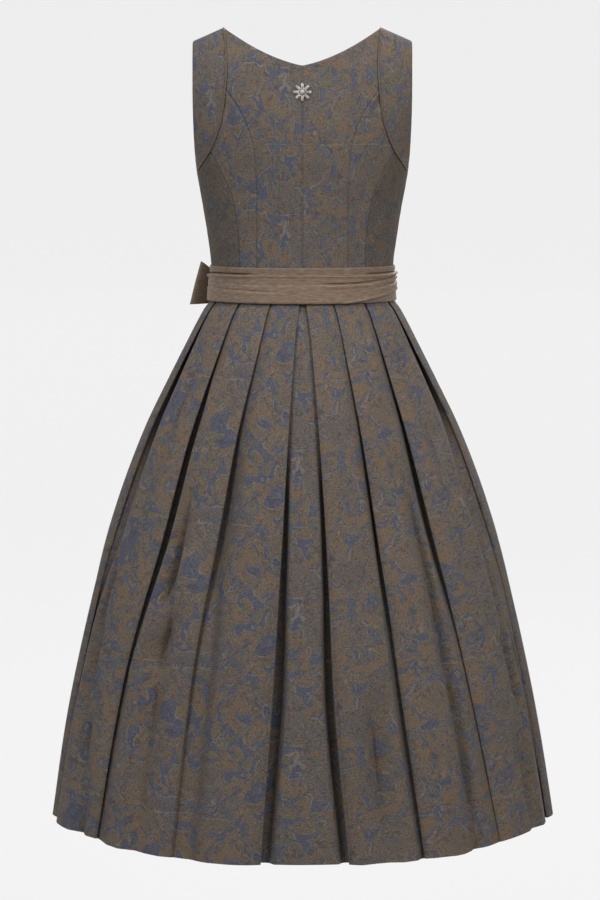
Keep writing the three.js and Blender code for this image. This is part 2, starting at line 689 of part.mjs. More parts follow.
// One half of a horizontal section, from the centre back to the centre front
function halfSection(z, folds) {
  const level = clamp((skirtRows[0] - z) / (skirtRows[0] - hemZ), 0, 1);
  const state = {};
  for (const column of ['depth', 'bulge', 'centre', 'soft', 'edge']) state[column] = lookUp(opening, 'level', level, column);
  const halfWidth = lookUp(skirtForm, 'z', z, 'halfWidth');
  const depth = lookUp(skirtForm, 'z', z, 'depth');
  const speed = (angle) => Math.hypot(halfWidth * Math.cos(angle), depth * Math.sin(angle));
  const edges = pleats.map((_, n) => lookUp(folds, 'level', level, `fold${n + 1}`) * degrees);
  const widening = 1 + skirtFlare * level;
  const section = [];
  const lay = (path, from, to, pitch, fold) => {
    for (const step of path) section.push({ angle: from + (step.along / pitch) * (to - from), sink: step.sink, fold });
  };
  const firstPitch = edges[0] * speed(edges[0] / 2);
  lay(centrePath(firstPitch, (centreUnderlay + 2 * pleats[0].under) * widening, state), 0, edges[0], firstPitch, 0);
  for (let n = 0; n < pleats.length - 1; n += 1) {
    const pitch = (edges[n + 1] - edges[n]) * speed((edges[n] + edges[n + 1]) / 2);
    const length = (pleats[n].panel + 2 * pleats[n + 1].under) * widening;
    lay(pleatPath(pitch, length, state), edges[n], edges[n + 1], pitch, n + 1);
  }
  const lastEdge = edges[edges.length - 1];
  for (const share of [0, 0.5, 1]) {
    const bulge = state.bulge * Math.sin((Math.PI / 2) * share);
    section.push({ angle: mix(lastEdge, Math.PI, share), sink: -bulge, fold: pleats.length });
  }
  return section;
}

// Points of a section with their outward directions, which follow the path of the cloth
function sectionRow(z, section, side) {
  const level = clamp((skirtRows[0] - z) / (skirtRows[0] - hemZ), 0, 1);
  const points = section.map(({ angle, sink }) => {
    const point = skirtPoint(angle, z, -sink);
    point.z += level ** 2 * lookUp(hemSwing, 'angle', angle / degrees, 'rise');
    return point;
  });
  return points.map((point, n) => {
    const toward = (a, b) => {
      const step = points[b].clone().sub(points[a]);
      return new THREE.Vector3(step.y, -step.x, 0).normalize();
    };
    const before = toward(Math.max(n - 1, 0), Math.max(n, 1));
    const after = toward(Math.min(n, points.length - 2), Math.min(n + 1, points.length - 1));
    const normal = before.clone().add(after).normalize();
    const miter = 1 / Math.max(normal.dot(after), 0.62);
    normal.multiplyScalar(miter);
    return mirrored({ point, normal }, side);
  });
}

// The side seams run down the inside of the fifth pleat and the centre seam down the underlay
const sideSeamStep = 7 + 10 * 3 + 5;
function skirtPanel(name, parts) {
  const grid = skirtRows.map((z) => parts.flatMap(({ side, folds, from, to, reverse }) => {
    const row = sectionRow(z, halfSection(z, folds), side).slice(from, to);
    return reverse ? row.reverse() : row;
  }));
  for (const row of grid) {
    const inset = (entry, neighbour) => {
      const step = neighbour.point.clone().sub(entry.point);
      entry.point.addScaledVector(step.normalize(), seamGap / 2);
    };
    inset(row[0], row[1]);
    inset(row[row.length - 1], row[row.length - 2]);
  }
  addPiece(name, wallGeometry(grid, skirtCloth, false), cloth);
}

skirtPanel('skirt_back_right', [{ side: 1, folds: rightFolds, from: 0, to: sideSeamStep + 1 }]);
skirtPanel('skirt_back_left', [{ side: -1, folds: leftFolds, from: 0, to: sideSeamStep + 1 }]);
skirtPanel('skirt_front', [
  { side: 1, folds: rightFolds, from: sideSeamStep, to: undefined },
  { side: -1, folds: leftFolds, from: sideSeamStep, to: -1, reverse: true },
]);

// The ties wound round the waist, over the apron's gathers at the front
const sashOut = [
  { angle: 0, out: 2.5 },
  { angle: 96, out: 2.7 },
  { angle: 122, out: 8.4 },
  { angle: 180, out: 8.4 },
];

function waistPoint(angle, z, out) {
  const halfWidth = lookUp(bodiceForm, 'z', Math.max(z, waistZ), 'halfWidth');
  const onBodice = bodicePoint(angle, Math.max(z, waistZ));
  const onSkirt = skirtPoint(angle, Math.min(z, waistZ), 0);
  const base = z > waistZ ? onBodice : onSkirt;
  const depth = Math.abs(Math.cos(angle)) > 0.01 ? Math.abs(base.y / Math.cos(angle)) : halfWidth;
  const normal = new THREE.Vector3(depth * Math.sin(angle), -halfWidth * Math.cos(angle), 0).normalize();
  return base.setZ(z).addScaledVector(normal, out);
}

const sashGrid = sashFolds.map(({ z, out }, j) => Array.from({ length: sashColumns }, (_, i) => {
  const angle = (2 * Math.PI * i) / sashColumns - Math.PI;
  const stand = lookUp(sashOut, 'angle', Math.abs(angle) / degrees, 'out');
  const drift = 0.35 * Math.sin(3 * angle + j) * (j > 0 && j < sashFolds.length - 1 ? 1 : 0);
  return waistPoint(angle, z, stand + out + drift + (z < waistZ ? 0.35 : 0));
}));
addPiece('sash', wallGeometry(withNormals(sashGrid, true), tieCloth, true), tieFabric);

// The apron: gathered at the waist, and hanging in soft waves over the front of the skirt
const apronColumns = apronWaves * 4;
const apronGrid = apronRows.map((z) => Array.from({ length: apronColumns + 1 }, (_, i) => {
  const spread = lookUp(apronEdge, 'z', z, 'angle') * degrees;
  const share = (2 * i) / apronColumns - 1;
  const angle = Math.PI + share * spread;
  const stand = lookUp(apronStand, 'z', z, 'out');
  const wave = lookUp(apronStand, 'z', z, 'wave') * Math.cos((Math.PI * i) / 2 + Math.PI);
  return waistPoint(angle, z, stand + wave);
}));
addPiece('apron', wallGeometry(withNormals(apronGrid, false), apronCloth, false), tieFabric);

// The bow, built in a frame that lies on the waist: along it, out from it, and up
const knotAngle = bowAngle * degrees;
const knotBase = waistPoint(knotAngle, bowZ, 8.9);
const knotOut = new THREE.Vector3(97 * Math.sin(knotAngle), -129 * Math.cos(knotAngle), 0).normalize();
const knotAlong = new THREE.Vector3(knotOut.y, -knotOut.x, 0);
const up = new THREE.Vector3(0, 0, 1);
const bowPoint = (along, out, rise) => knotBase.clone()
  .addScaledVector(knotAlong, along)
  .addScaledVector(knotOut, out)
  .addScaledVector(up, rise);

// The knot: a soft block of wrapped cloth
const knotSize = { along: 15, out: 11, rise: 16.5 };
const knotRings = [-1, -0.86, -0.45, 0, 0.45, 0.86, 1];
const knotSides = 12;
const knotPositions = [];
const knotFaces = [];
for (const height of knotRings) {
  const girth = Math.max(0.45, (1 - Math.abs(height) ** 3) ** 0.5);
  for (let s = 0; s < knotSides; s += 1) {
    const turn = (2 * Math.PI * s) / knotSides;
    const square = (value) => Math.sign(value) * Math.abs(value) ** 0.75;
    knotPositions.push(...bowPoint(
      knotSize.along * girth * square(Math.cos(turn)),
      knotSize.out * (1.15 + girth * square(Math.sin(turn))),
      knotSize.rise * height,
    ).toArray());
  }
}
const knotEnds = knotPositions.length / 3;
knotPositions.push(...bowPoint(0, knotSize.out * 1.15, -knotSize.rise).toArray());
knotPositions.push(...bowPoint(0, knotSize.out * 1.15, knotSize.rise).toArray());
for (let s = 0; s < knotSides; s += 1) {
  const next = (s + 1) % knotSides;
  for (let r = 0; r < knotRings.length - 1; r += 1) {
    const [a, b] = [r * knotSides, (r + 1) * knotSides];
    knotFaces.push(a + s, a + next, b + next, a + s, b + next, b + s);
  }
  const top = (knotRings.length - 1) * knotSides;
  knotFaces.push(knotEnds, next, s, knotEnds + 1, top + s, top + next);
}
addPiece('bow_knot', facingOut(knotPositions, knotFaces), tieFabric);

// A loop: the tie runs out from the knot, turns, and comes back in front of itself
function loopGrid(direction) {
  const steps = 14;
  const across = 4;
  const bend = Math.sin(bowTilt * degrees);
  return Array.from({ length: across + 1 }, (_, j) => Array.from({ length: steps + 1 }, (_unused, i) => {
    const turn = Math.PI * (i / steps);
    const share = Math.sin(turn) ** 0.8;
    const halfHeight = mix(12, 29, share);
    const rise = (2 * j / across - 1) * halfHeight;
    const along = knotSize.along - 0.1 + loopLength * share * 0.86;
    const fold = 1.6 * Math.cos((j - across / 2) * Math.PI) * (1 - share);
    const out = knotSize.out * 1.15 - 5.5 * Math.cos(turn) * (0.65 + 0.9 * share) + fold;
    return bowPoint(direction * (along - bend * rise * direction * direction * share * 0.9), out, rise + bend * (along - knotSize.along));
  }));
}
for (const [label, direction] of [['front', 1], ['side', -1]]) {
  addPiece(`bow_loop_${label}`, wallGeometry(withNormals(loopGrid(direction), false), tieCloth, false), tieFabric);
}

// The tails hang from under the knot over the apron
const tails = [
  { label: 'short', drift: -5, length: tailLength * 0.9, out: 18.6 },
  { label: 'long', drift: 6, length: tailLength, out: 23.8 },
];
for (const { label, drift, length, out } of tails) {
  const rows = 9;
  const across = 4;
  const grid = Array.from({ length: rows + 1 }, (_, j) => Array.from({ length: across + 1 }, (_unused, i) => {
    const share = j / rows;
    const z = bowZ - knotSize.rise - 2 - length * share;
    const halfWidth = mix(9, 30, smooth(share * 1.6));
    const centre = (bowAngle + drift * smooth(share * 1.4)) * degrees;
    const girth = lookUp(skirtForm, 'z', z, 'halfWidth') * 0.85;
    const angle = centre + ((2 * i / across - 1) * halfWidth) / girth;
    const fold = 1.8 * Math.cos((i - across / 2) * Math.PI) * (1 - 0.6 * share);
    return skirtPoint(angle, z, out + fold);
  }));
  addPiece(`tie_tail_${label}`, wallGeometry(withNormals(grid, false), tieCloth, false), tieFabric);
}

export default dress;
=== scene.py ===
import math
import bpy
import numpy as np
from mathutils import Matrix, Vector


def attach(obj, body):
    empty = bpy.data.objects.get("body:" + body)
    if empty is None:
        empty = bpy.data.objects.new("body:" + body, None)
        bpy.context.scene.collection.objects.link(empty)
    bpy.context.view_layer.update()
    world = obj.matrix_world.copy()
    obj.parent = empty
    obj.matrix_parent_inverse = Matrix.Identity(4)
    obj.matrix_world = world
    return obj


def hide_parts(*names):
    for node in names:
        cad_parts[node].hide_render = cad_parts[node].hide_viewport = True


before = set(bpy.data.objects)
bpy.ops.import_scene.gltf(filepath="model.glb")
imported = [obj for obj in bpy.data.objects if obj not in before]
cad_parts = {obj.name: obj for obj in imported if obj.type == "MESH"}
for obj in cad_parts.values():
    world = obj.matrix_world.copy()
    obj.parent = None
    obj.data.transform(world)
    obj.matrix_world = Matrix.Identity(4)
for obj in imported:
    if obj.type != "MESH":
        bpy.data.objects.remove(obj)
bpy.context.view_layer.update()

scene = bpy.context.scene
mm = 0.001
print("frame loaded:", len(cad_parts), "solids")


# Short helpers

def table(columns, *rows):
    # rows of values under named columns
    return [dict(zip(columns.split(), row)) for row in rows]


def curve(pairs):
    # a curve through pairs of place and value, with no overshoot between them
    at, value = np.array(sorted(pairs), float).T
    slope = np.diff(value) / np.diff(at)
    total = slope[:-1] + slope[1:]
    product = slope[:-1] * slope[1:]
    inner = np.where(product > 0, 2 * product / np.where(total == 0, 1, total), 0)
    tangent = np.concatenate([[slope[0]], inner, [slope[-1]]])

    def read(where):
        where = np.asarray(where, float)
        i = np.clip(np.searchsorted(at, where) - 1, 0, len(at) - 2)
        span = at[i + 1] - at[i]
        s = np.clip((where - at[i]) / span, 0, 1)
        rise = value[i + 1] - value[i]
        cubic = (tangent[i] + tangent[i + 1]) * span - 2 * rise
        square = 3 * rise - (2 * tangent[i] + tangent[i + 1]) * span
        return value[i] + s * (tangent[i] * span + s * (square + s * cubic))

    return read


def curves(columns, *rows):
    # a curve for each further column against the first one
    return {name: curve([(row[0], row[n]) for row in rows]) for n, name in enumerate(columns.split()) if n}


def mix(a, b, share):
    return a + (b - a) * share


def smooth(share):
    share = np.clip(share, 0, 1)
    return share * share * (3 - 2 * share)


def runAlong(points, axis):
    # length of cloth from the first row or column
    step = np.linalg.norm(np.diff(points, axis=axis), axis=-1)
    return np.cumsum(np.concatenate([np.zeros_like(np.take(step, [0], axis)), step], axis), axis)


def ringFaces(rows, sides):
    # four-cornered faces between rings of corners
    return [(n * sides + s, n * sides + (s + 1) % sides, (n + 1) * sides + (s + 1) % sides, (n + 1) * sides + s)
            for n in range(rows - 1) for s in range(sides)]


def capFaces(rows, sides):
    return [tuple(range(sides))[::-1], tuple(range((rows - 1) * sides, rows * sides))]


def link(name, data):
    made = bpy.data.objects.new(name, data)
    scene.collection.objects.link(made)
    return made


class Finish:
    # one material, and short ways to add its nodes
    def __init__(self, name):
        self.material = bpy.data.materials.new(name)
        self.material.use_nodes = True
        self.tree = self.material.node_tree

    def plug(self, value, socket):
        if isinstance(value, (int, float, tuple)):
            socket.default_value = value
        else:
            self.tree.links.new(value, socket)

    def node(self, kind, inputs, **settings):
        made = self.tree.nodes.new(kind)
        for key, value in settings.items():
            setattr(made, key, value)
        for key, value in inputs.items():
            self.plug(value, made.inputs[key])
        return made

    def wear(self, inputs):
        # what the surface itself gets
        for key, value in inputs.items():
            self.plug(value, self.tree.nodes["Principled BSDF"].inputs[key])
        return self.material

    def math(self, operation, *values):
        return self.node("ShaderNodeMath", dict(enumerate(values)), operation=operation).outputs[0]

    def times(self, first, *others):
        for value in others:
            first = self.math("MULTIPLY", first, value)
        return first

    def total(self, *terms, base=0.0):
        # a sum of values, each times its weight
        for value, weight in terms:
            base = self.math("MULTIPLY_ADD", value, weight, base)
        return base

    def wave(self, value, length):
        return self.math("SINE", self.times(value, 2 * math.pi / length))

    def vector(self, operation, *values):
        made = self.node("ShaderNodeVectorMath", dict(enumerate(values)), operation=operation)
        return made.outputs[1 if operation == "LENGTH" else 0]

    def scaled(self, vector, amount):
        return self.node("ShaderNodeVectorMath", {0: vector, "Scale": amount}, operation="SCALE").outputs[0]

    def parts(self, vector):
        return self.node("ShaderNodeSeparateXYZ", {0: vector}).outputs

    def joinParts(self, *values):
        return self.node("ShaderNodeCombineXYZ", dict(enumerate(values))).outputs[0]

    def cloth(self):
        return self.node("ShaderNodeUVMap", {}, uv_map="cloth").outputs["UV"]

    def noise(self, where, scale, detail=2.0, rough=0.5, distort=0.0, output="Fac"):
        return self.node("ShaderNodeTexNoise", {"Vector": where, "Scale": scale, "Detail": detail,
                                                "Roughness": rough, "Distortion": distort}).outputs[output]

    def step(self, value, low, high):
        return self.node("ShaderNodeMapRange", {"Value": value, "From Min": low, "From Max": high},
                         interpolation_type="SMOOTHSTEP").outputs["Result"]

    def blend(self, share, a, b, kind="MIX"):
        return self.node("ShaderNodeMix", {"Factor": share, "A": a, "B": b},
                         data_type="RGBA", blend_type=kind).outputs["Result"]

    def cloud(self, colour, where, scale, sway, dim):
        # broad lighter and darker patches, and the whole darker by dim; on the shaded copies of a cloth this is
        # painted shade
        light = self.times(self.total((self.noise(where, scale), sway), base=1 - sway / 2), dim)
        return self.blend(1.0, colour, light, "MULTIPLY")

    def ramp(self, value, stops):
        made = self.node("ShaderNodeValToRGB", {"Fac": value})
        elements = made.color_ramp.elements
        while len(elements) < len(stops):
            elements.new(0.5)
        for element, (place, shade) in zip(elements, stops):
            element.position = place
            element.color = shade
        return made.outputs["Color"]

    def bump(self, height, strength, distance):
        return self.node("ShaderNodeBump", {"Strength": strength, "Distance": distance,
                                            "Height": height}).outputs["Normal"]


# Camera, light and the pale studio

view = {
    "distance": 3.5,        # metres behind the dress
    "height": -0.1626,      # level of the lens, measured from the neck points
    "tiltDown": 7.12,       # degrees
    "lens": 97.96,
    "side": -0.0033,
}
studio = {
    "floorLevel": -1.62,
    "radius": 26,
    "bend": 6,
    "height": 24,
    "sides": 72,
    "tone": (0.06, 0.06, 0.06, 1),
    "glowTone": (0.88, 0.88, 0.88, 1),
    "glow": 0.945,
    "skyTone": (1, 1, 1, 1),
    "skyStrength": 0.27,
}
lamps = table(
    "name at aim size power tone",
    ("key", (2.2, -3.0, 2.1), (0, 0, -0.35), 1.2, 80, (1.0, 0.99, 0.97)),
    ("fill", (-2.2, -3.0, 2.1), (0, 0, -0.35), 1.2, 70, (0.98, 0.99, 1.0)),
    ("top", (0.1, -0.7, 2.3), (0, 0, -0.2), 1.6, 26, (1, 1, 1)),
    ("frontKey", (1.0, 3.5, 1.5), (0, 0, -0.5), 2.2, 62, (1, 1, 1)))


def placeCamera(v):
    camera = bpy.data.cameras.new("camera")
    camera.lens, camera.sensor_width, camera.clip_end = v["lens"], 36, 60
    scene.camera = link("camera", camera)
    scene.camera.location = (v["side"], -v["distance"], v["height"])
    scene.camera.rotation_euler = (math.radians(90 - v["tiltDown"]), 0, 0)


def buildStudio(s):
    # a round floor that rises to a wall in one sweep
    bend, radius, floor, sides = s["bend"], s["radius"], s["floorLevel"], s["sides"]
    profile = [(0.0, floor), (radius * 0.5, floor)]
    for turn in np.radians(np.linspace(0, 90, 13)):
        profile.append((radius - bend + bend * math.sin(turn), floor + bend * (1 - math.cos(turn))))
    profile.append((radius, s["height"]))
    turns = [2 * math.pi * n / sides for n in range(sides)]
    points = [(reach * math.cos(turn), reach * math.sin(turn), height) for reach, height in profile for turn in turns]
    mesh = bpy.data.meshes.new("studioSweep")
    mesh.from_pydata(points, [], ringFaces(len(profile), sides))
    mesh.shade_smooth()
    sweep = link("studioSweep", mesh)
    sweep.visible_diffuse = False       # the sky alone lights the cloth all round
    sweep.visible_shadow = False
    mesh.materials.append(Finish("studioPaper").wear({
        "Base Color": s["tone"], "Roughness": 0.95, "Specular IOR Level": 0.1,
        "Emission Color": s["glowTone"], "Emission Strength": s["glow"]}))
    scene.world = bpy.data.worlds.new("softSky")
    scene.world.use_nodes = True
    sky = scene.world.node_tree.nodes["Background"].inputs
    sky["Color"].default_value, sky["Strength"].default_value = s["skyTone"], s["skyStrength"]


def hangLamps(lamps):
    for lamp in lamps:
        light = bpy.data.lights.new(lamp["name"], "AREA")
        light.shape, light.size, light.energy, light.color = "SQUARE", lamp["size"], lamp["power"], lamp["tone"]
        holder = link(lamp["name"], light)
        holder.location = lamp["at"]
        direction = Vector(lamp["aim"]) - Vector(lamp["at"])
        holder.rotation_euler = direction.to_track_quat("-Z", "Y").to_euler()


placeCamera(view)
buildStudio(studio)
hangLamps(lamps)
scene.view_settings.view_transform = "Standard"
print("camera, lamps and sweep placed")


# The form of the bodice, in millimetres, the same as its solids

levels = {"underarm": -202.5, "waist": -358, "hem": -1139, "backNeck": -55, "frontNeck": -146.5,
          "shoulderTip": -19.5, "armholePrincess": -122}
shoulder = {"neck": 110.1, "tip": 154.7, "rounding": 88}
bodiceForm = curves(
    "z halfWidth back front",
    (29, 168.6, 82, 62), (-58, 168.6, 93, 82), (-101, 168, 101, 99), (-145.5, 162.9, 105, 116),
    (-184.5, 152.8, 104, 128), (-202.5, 149.1, 102.5, 131), (-241.5, 142.2, 98.5, 129), (-284, 135.3, 95, 115),
    (-329.5, 129.1, 93, 98.5), (-358, 127.7, 93.6, 94))
bodiceHalfWidth = bodiceForm["halfWidth"]
shoulderSlope = -levels["shoulderTip"] / (shoulder["tip"] - shoulder["neck"])
bothSides = (("left", -1), ("right", 1))


def shoulderLine(x):
    return (shoulder["neck"] - np.abs(x)) * shoulderSlope


def bodiceDepth(angle, z):
    return np.where(np.cos(angle) > 0, bodiceForm["back"](z), bodiceForm["front"](z))


def bodicePoint(angle, z):
    x = bodiceHalfWidth(z) * np.sin(angle)
    drop = np.clip((shoulderLine(x) - z) / shoulder["rounding"], 0, 1)
    y = -bodiceDepth(angle, z) * np.cos(angle) * np.sqrt(1 - (1 - drop) ** 2)
    return np.stack([x, y, z + 0 * x], -1)


def aroundBodice(angle, z, steps=24):
    # length of cloth from the middle of the back, or of the front, to an angle
    start = np.where(np.cos(angle) >= 0, 0.0, math.pi)
    total = 0
    for n in range(steps):
        here = mix(start, angle, (n + 0.5) / steps)
        total = total + np.hypot(bodiceHalfWidth(z) * np.cos(here), bodiceDepth(angle, z) * np.sin(here))
    return total * (angle - start) / steps


seamLines = {
    "piping": [(0, 110.1), (-23, 106.6), (-44.5, 104.9), (-66, 104.8), (-86, 106.1), (-127, 111.3),
               (-149.5, 118.1), (-171, 127.6), (-188.5, 139.5), (-202.5, 149.1)],
    "inner": [(-87, 106.2), (-118.5, 85.5), (-146.5, 73.8), (-179, 66.4), (-243.5, 63.7), (-358, 64.5)],
    "outer": [(-173, 128.7), (-190.5, 117.8), (-207.5, 109.5), (-236.5, 97.8), (-284, 90), (-358, 86.3)],
    "armholeBack": [(-19.5, 154.7), (-58, 154.4), (-101, 154.1), (-145.5, 152.9), (-175, 151.5),
                    (-202.5, 149.1)],
    "armholeFront": [(-19.5, 154.7), (-58, 147.2), (-101, 140.5), (-145.5, 139.8), (-180, 144.9),
                     (-202.5, 149.1)],
    "neckFront": [(0, 110.1), (-38.5, 101), (-77.5, 90.3), (-108.5, 75.7), (-130, 53.1), (-141.5, 25.6),
                  (-146.5, 0)],
    "princess": [(-122, 139.8), (-160.5, 118.2), (-199.5, 95.7), (-238.5, 84.9), (-293, 75.2), (-358, 69.4)],
}


def seamAngle(name, front=False):
    line = curve(seamLines[name])

    def read(z):
        angle = np.arcsin(np.clip(line(z) / bodiceHalfWidth(z), -1, 1))
        return math.pi - angle if front else angle

    return read


def joined(upper, lower, at):
    return lambda z: np.where(z > at, upper(z), lower(z))


piping = seamAngle("piping")
innerSeam = seamAngle("inner")
outerSeam = seamAngle("outer")
armholeBack = seamAngle("armholeBack")
armholeFront = seamAngle("armholeFront", True)
neckFront = seamAngle("neckFront", True)
princess = seamAngle("princess", True)



def fixedAngle(value):
    return lambda z: value + 0 * z


# Sewing a closed wall of cloth from a grid of outer points

def outwardOf(points, ring=False):
    across = np.roll(points, -1, 1) - np.roll(points, 1, 1) if ring else np.gradient(points, axis=1)
    normal = np.cross(np.gradient(points, axis=0), across)
    normal /= np.maximum(np.linalg.norm(normal, axis=-1, keepdims=True), 1e-9)
    middle = points.reshape(-1, 3).mean(0) * (0, 0, 1)
    away = (normal * (points - middle))[..., :2].sum()
    return normal if away > 0 else -normal


def addPiece(node, ending, corners, faces, finish, places=None, crisp=None):
    # places are those on the flat cloth, for each corner of each face
    slot, material = finishes[finish]
    name = f"{node}_{ending}"
    mesh = bpy.data.meshes.new(name)
    mesh.from_pydata(np.asarray(corners).tolist(), [], faces)
    if places is not None:
        layer = mesh.uv_layers.new(name="cloth")
        layer.uv.foreach_set("vector", (np.asarray(places) * mm).astype(np.float32).ravel())
    mesh.materials.append(material)
    mesh.shade_smooth()
    if crisp:
        mesh.set_sharp_from_angle(angle=math.radians(crisp))
    piece = link(name, mesh)
    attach(piece, "root")
    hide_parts(node)
    return piece


def sewWall(node, points, cloth, thickness, finish, ring=False, normal=None, crisp=58):
    rows, columns = points.shape[:2]
    normal = outwardOf(points, ring) if normal is None else normal
    corners = np.concatenate([points.reshape(-1, 3), (points - normal * thickness).reshape(-1, 3)]) * mm
    inside = (rows * columns, 0)

    def at(j, i):
        # numbers of a corner and of its place on the cloth
        return np.stack([j * columns + i % columns, j * cloth.shape[1] + i], -1)

    def rim(a, b):
        return np.stack([a, b, b + inside, a + inside], 1)

    spans = columns if ring else columns - 1
    j, i = (grid.ravel() for grid in np.meshgrid(np.arange(rows - 1), np.arange(spans), indexing="ij"))
    outer = np.stack([at(j, i), at(j + 1, i), at(j + 1, i + 1), at(j, i + 1)], 1)
    j, i, end = np.arange(rows - 1), np.arange(spans), columns - 1
    walls = [outer, outer[:, ::-1] + inside, rim(at(0, i + 1), at(0, i)), rim(at(rows - 1, i), at(rows - 1, i + 1))]
    if not ring:
        walls += [rim(at(j, 0 * j), at(j + 1, 0 * j)), rim(at(j + 1, end + 0 * j), at(j, end + 0 * j))]
    walls = np.concatenate(walls)
    first = corners[walls[:, 1, 0]] - corners[walls[:, 0, 0]]
    second = corners[walls[:, 3, 0]] - corners[walls[:, 0, 0]]
    lean = np.cross(first, second)[: len(outer)]
    if (lean * normal[:-1, :spans].reshape(-1, 3)).sum() < 0:
        walls = walls[:, ::-1]
    places = cloth.reshape(-1, 2)[walls[..., 1].ravel()]
    piece = addPiece(node, "cloth", corners, walls[..., 0].tolist(), finish, places, crisp)
    closed = np.concatenate([points, points[:, :1]], 1) if ring else points
    size = (runAlong(closed, 1)[:, -1].max() * mm, runAlong(points, 0)[-1].max() * mm)


def wrinkle(along, seed, wave):
    # an uneven ripple that gives the same result each time
    total = 0
    for n in range(4):
        turn = along * (2 * math.pi / wave) * (0.62 + 0.37 * n) + seed * (1.7 + 2.3 * n)
        total = total + np.sin(turn) / (1 + 0.5 * n)
    return total / 2.2


def turnEdges(points, normal, edges, depth=1.35, reach=1.25, ripple=0.22, seed=1.0):
    # each sewn or turned edge rolls in, and the cloth beside it puckers a little
    across, down = runAlong(points, 1), runAlong(points, 0)
    found = {"left": (across, down[:, :1]), "right": (across[:, -1:] - across, down[:, -1:]),
             "top": (down, across[:1]), "bottom": (down[-1:] - down, across[-1:])}
    moved = points.copy()
    for edge in edges:
        away, along = found[edge]
        pucker = ripple * wrinkle(along, seed + len(edge), 13) * np.exp(-away / 9) * smooth(away / 2.5)
        moved += normal * (pucker - depth * np.exp(-(away / reach) ** 2))[..., None]
    return moved


# Finishes

def tone(red, green, blue):
    # a colour as seen on screen, as the shader wants it
    def straight(value):
        value = value / 255
        return value / 12.92 if value <= 0.04045 else ((value + 0.055) / 1.055) ** 2.4
    return (straight(red), straight(green), straight(blue), 1.0)


jacquard = {
    "repeatTall": 0.202,
    "ground": tone(94, 87, 82),
    "blue": tone(75, 80, 99),
    "mauve": tone(97, 87, 89),
    "brown": tone(103, 91, 79),
    "ochre": tone(113, 93, 74),
    "olive": tone(95, 90, 77),
    "outline": tone(132, 123, 115),
    "shade": tone(55, 50, 50),
    "thread": 0.00052,
}


def paisley(w, tile, scale, spread, curl, girth):
    # curled drops, one in each cell: how far out a place lies, the cell's own tints, and the way round
    cell = w.node("ShaderNodeTexVoronoi", {"Vector": tile}, voronoi_dimensions="2D", feature="F1")
    cell.inputs["Scale"].default_value, cell.inputs["Randomness"].default_value = scale, spread
    local = w.scaled(w.vector("SUBTRACT", tile, cell.outputs["Position"]), scale)
    tints = w.parts(cell.outputs["Color"])
    spin = w.total((w.vector("LENGTH", local), curl), (tints[0], 2 * math.pi))
    turned = w.node("ShaderNodeVectorRotate", {"Vector": local, "Angle": spin}, rotation_type="Z_AXIS")
    x, y, _ = w.parts(turned.outputs["Vector"])
    taper = w.total((w.step(x, -0.12, 0.5), -0.72), base=1.0)
    narrow = w.math("DIVIDE", w.times(y, girth), taper)
    away = w.vector("LENGTH", w.joinParts(w.times(x, 0.86), narrow))
    turn = w.math("ARCTAN2", narrow, x)
    scallop = w.math("ABSOLUTE", w.math("SINE", w.times(turn, 4.5)))
    return w.total((scallop, 0.045), base=away), tints, turn


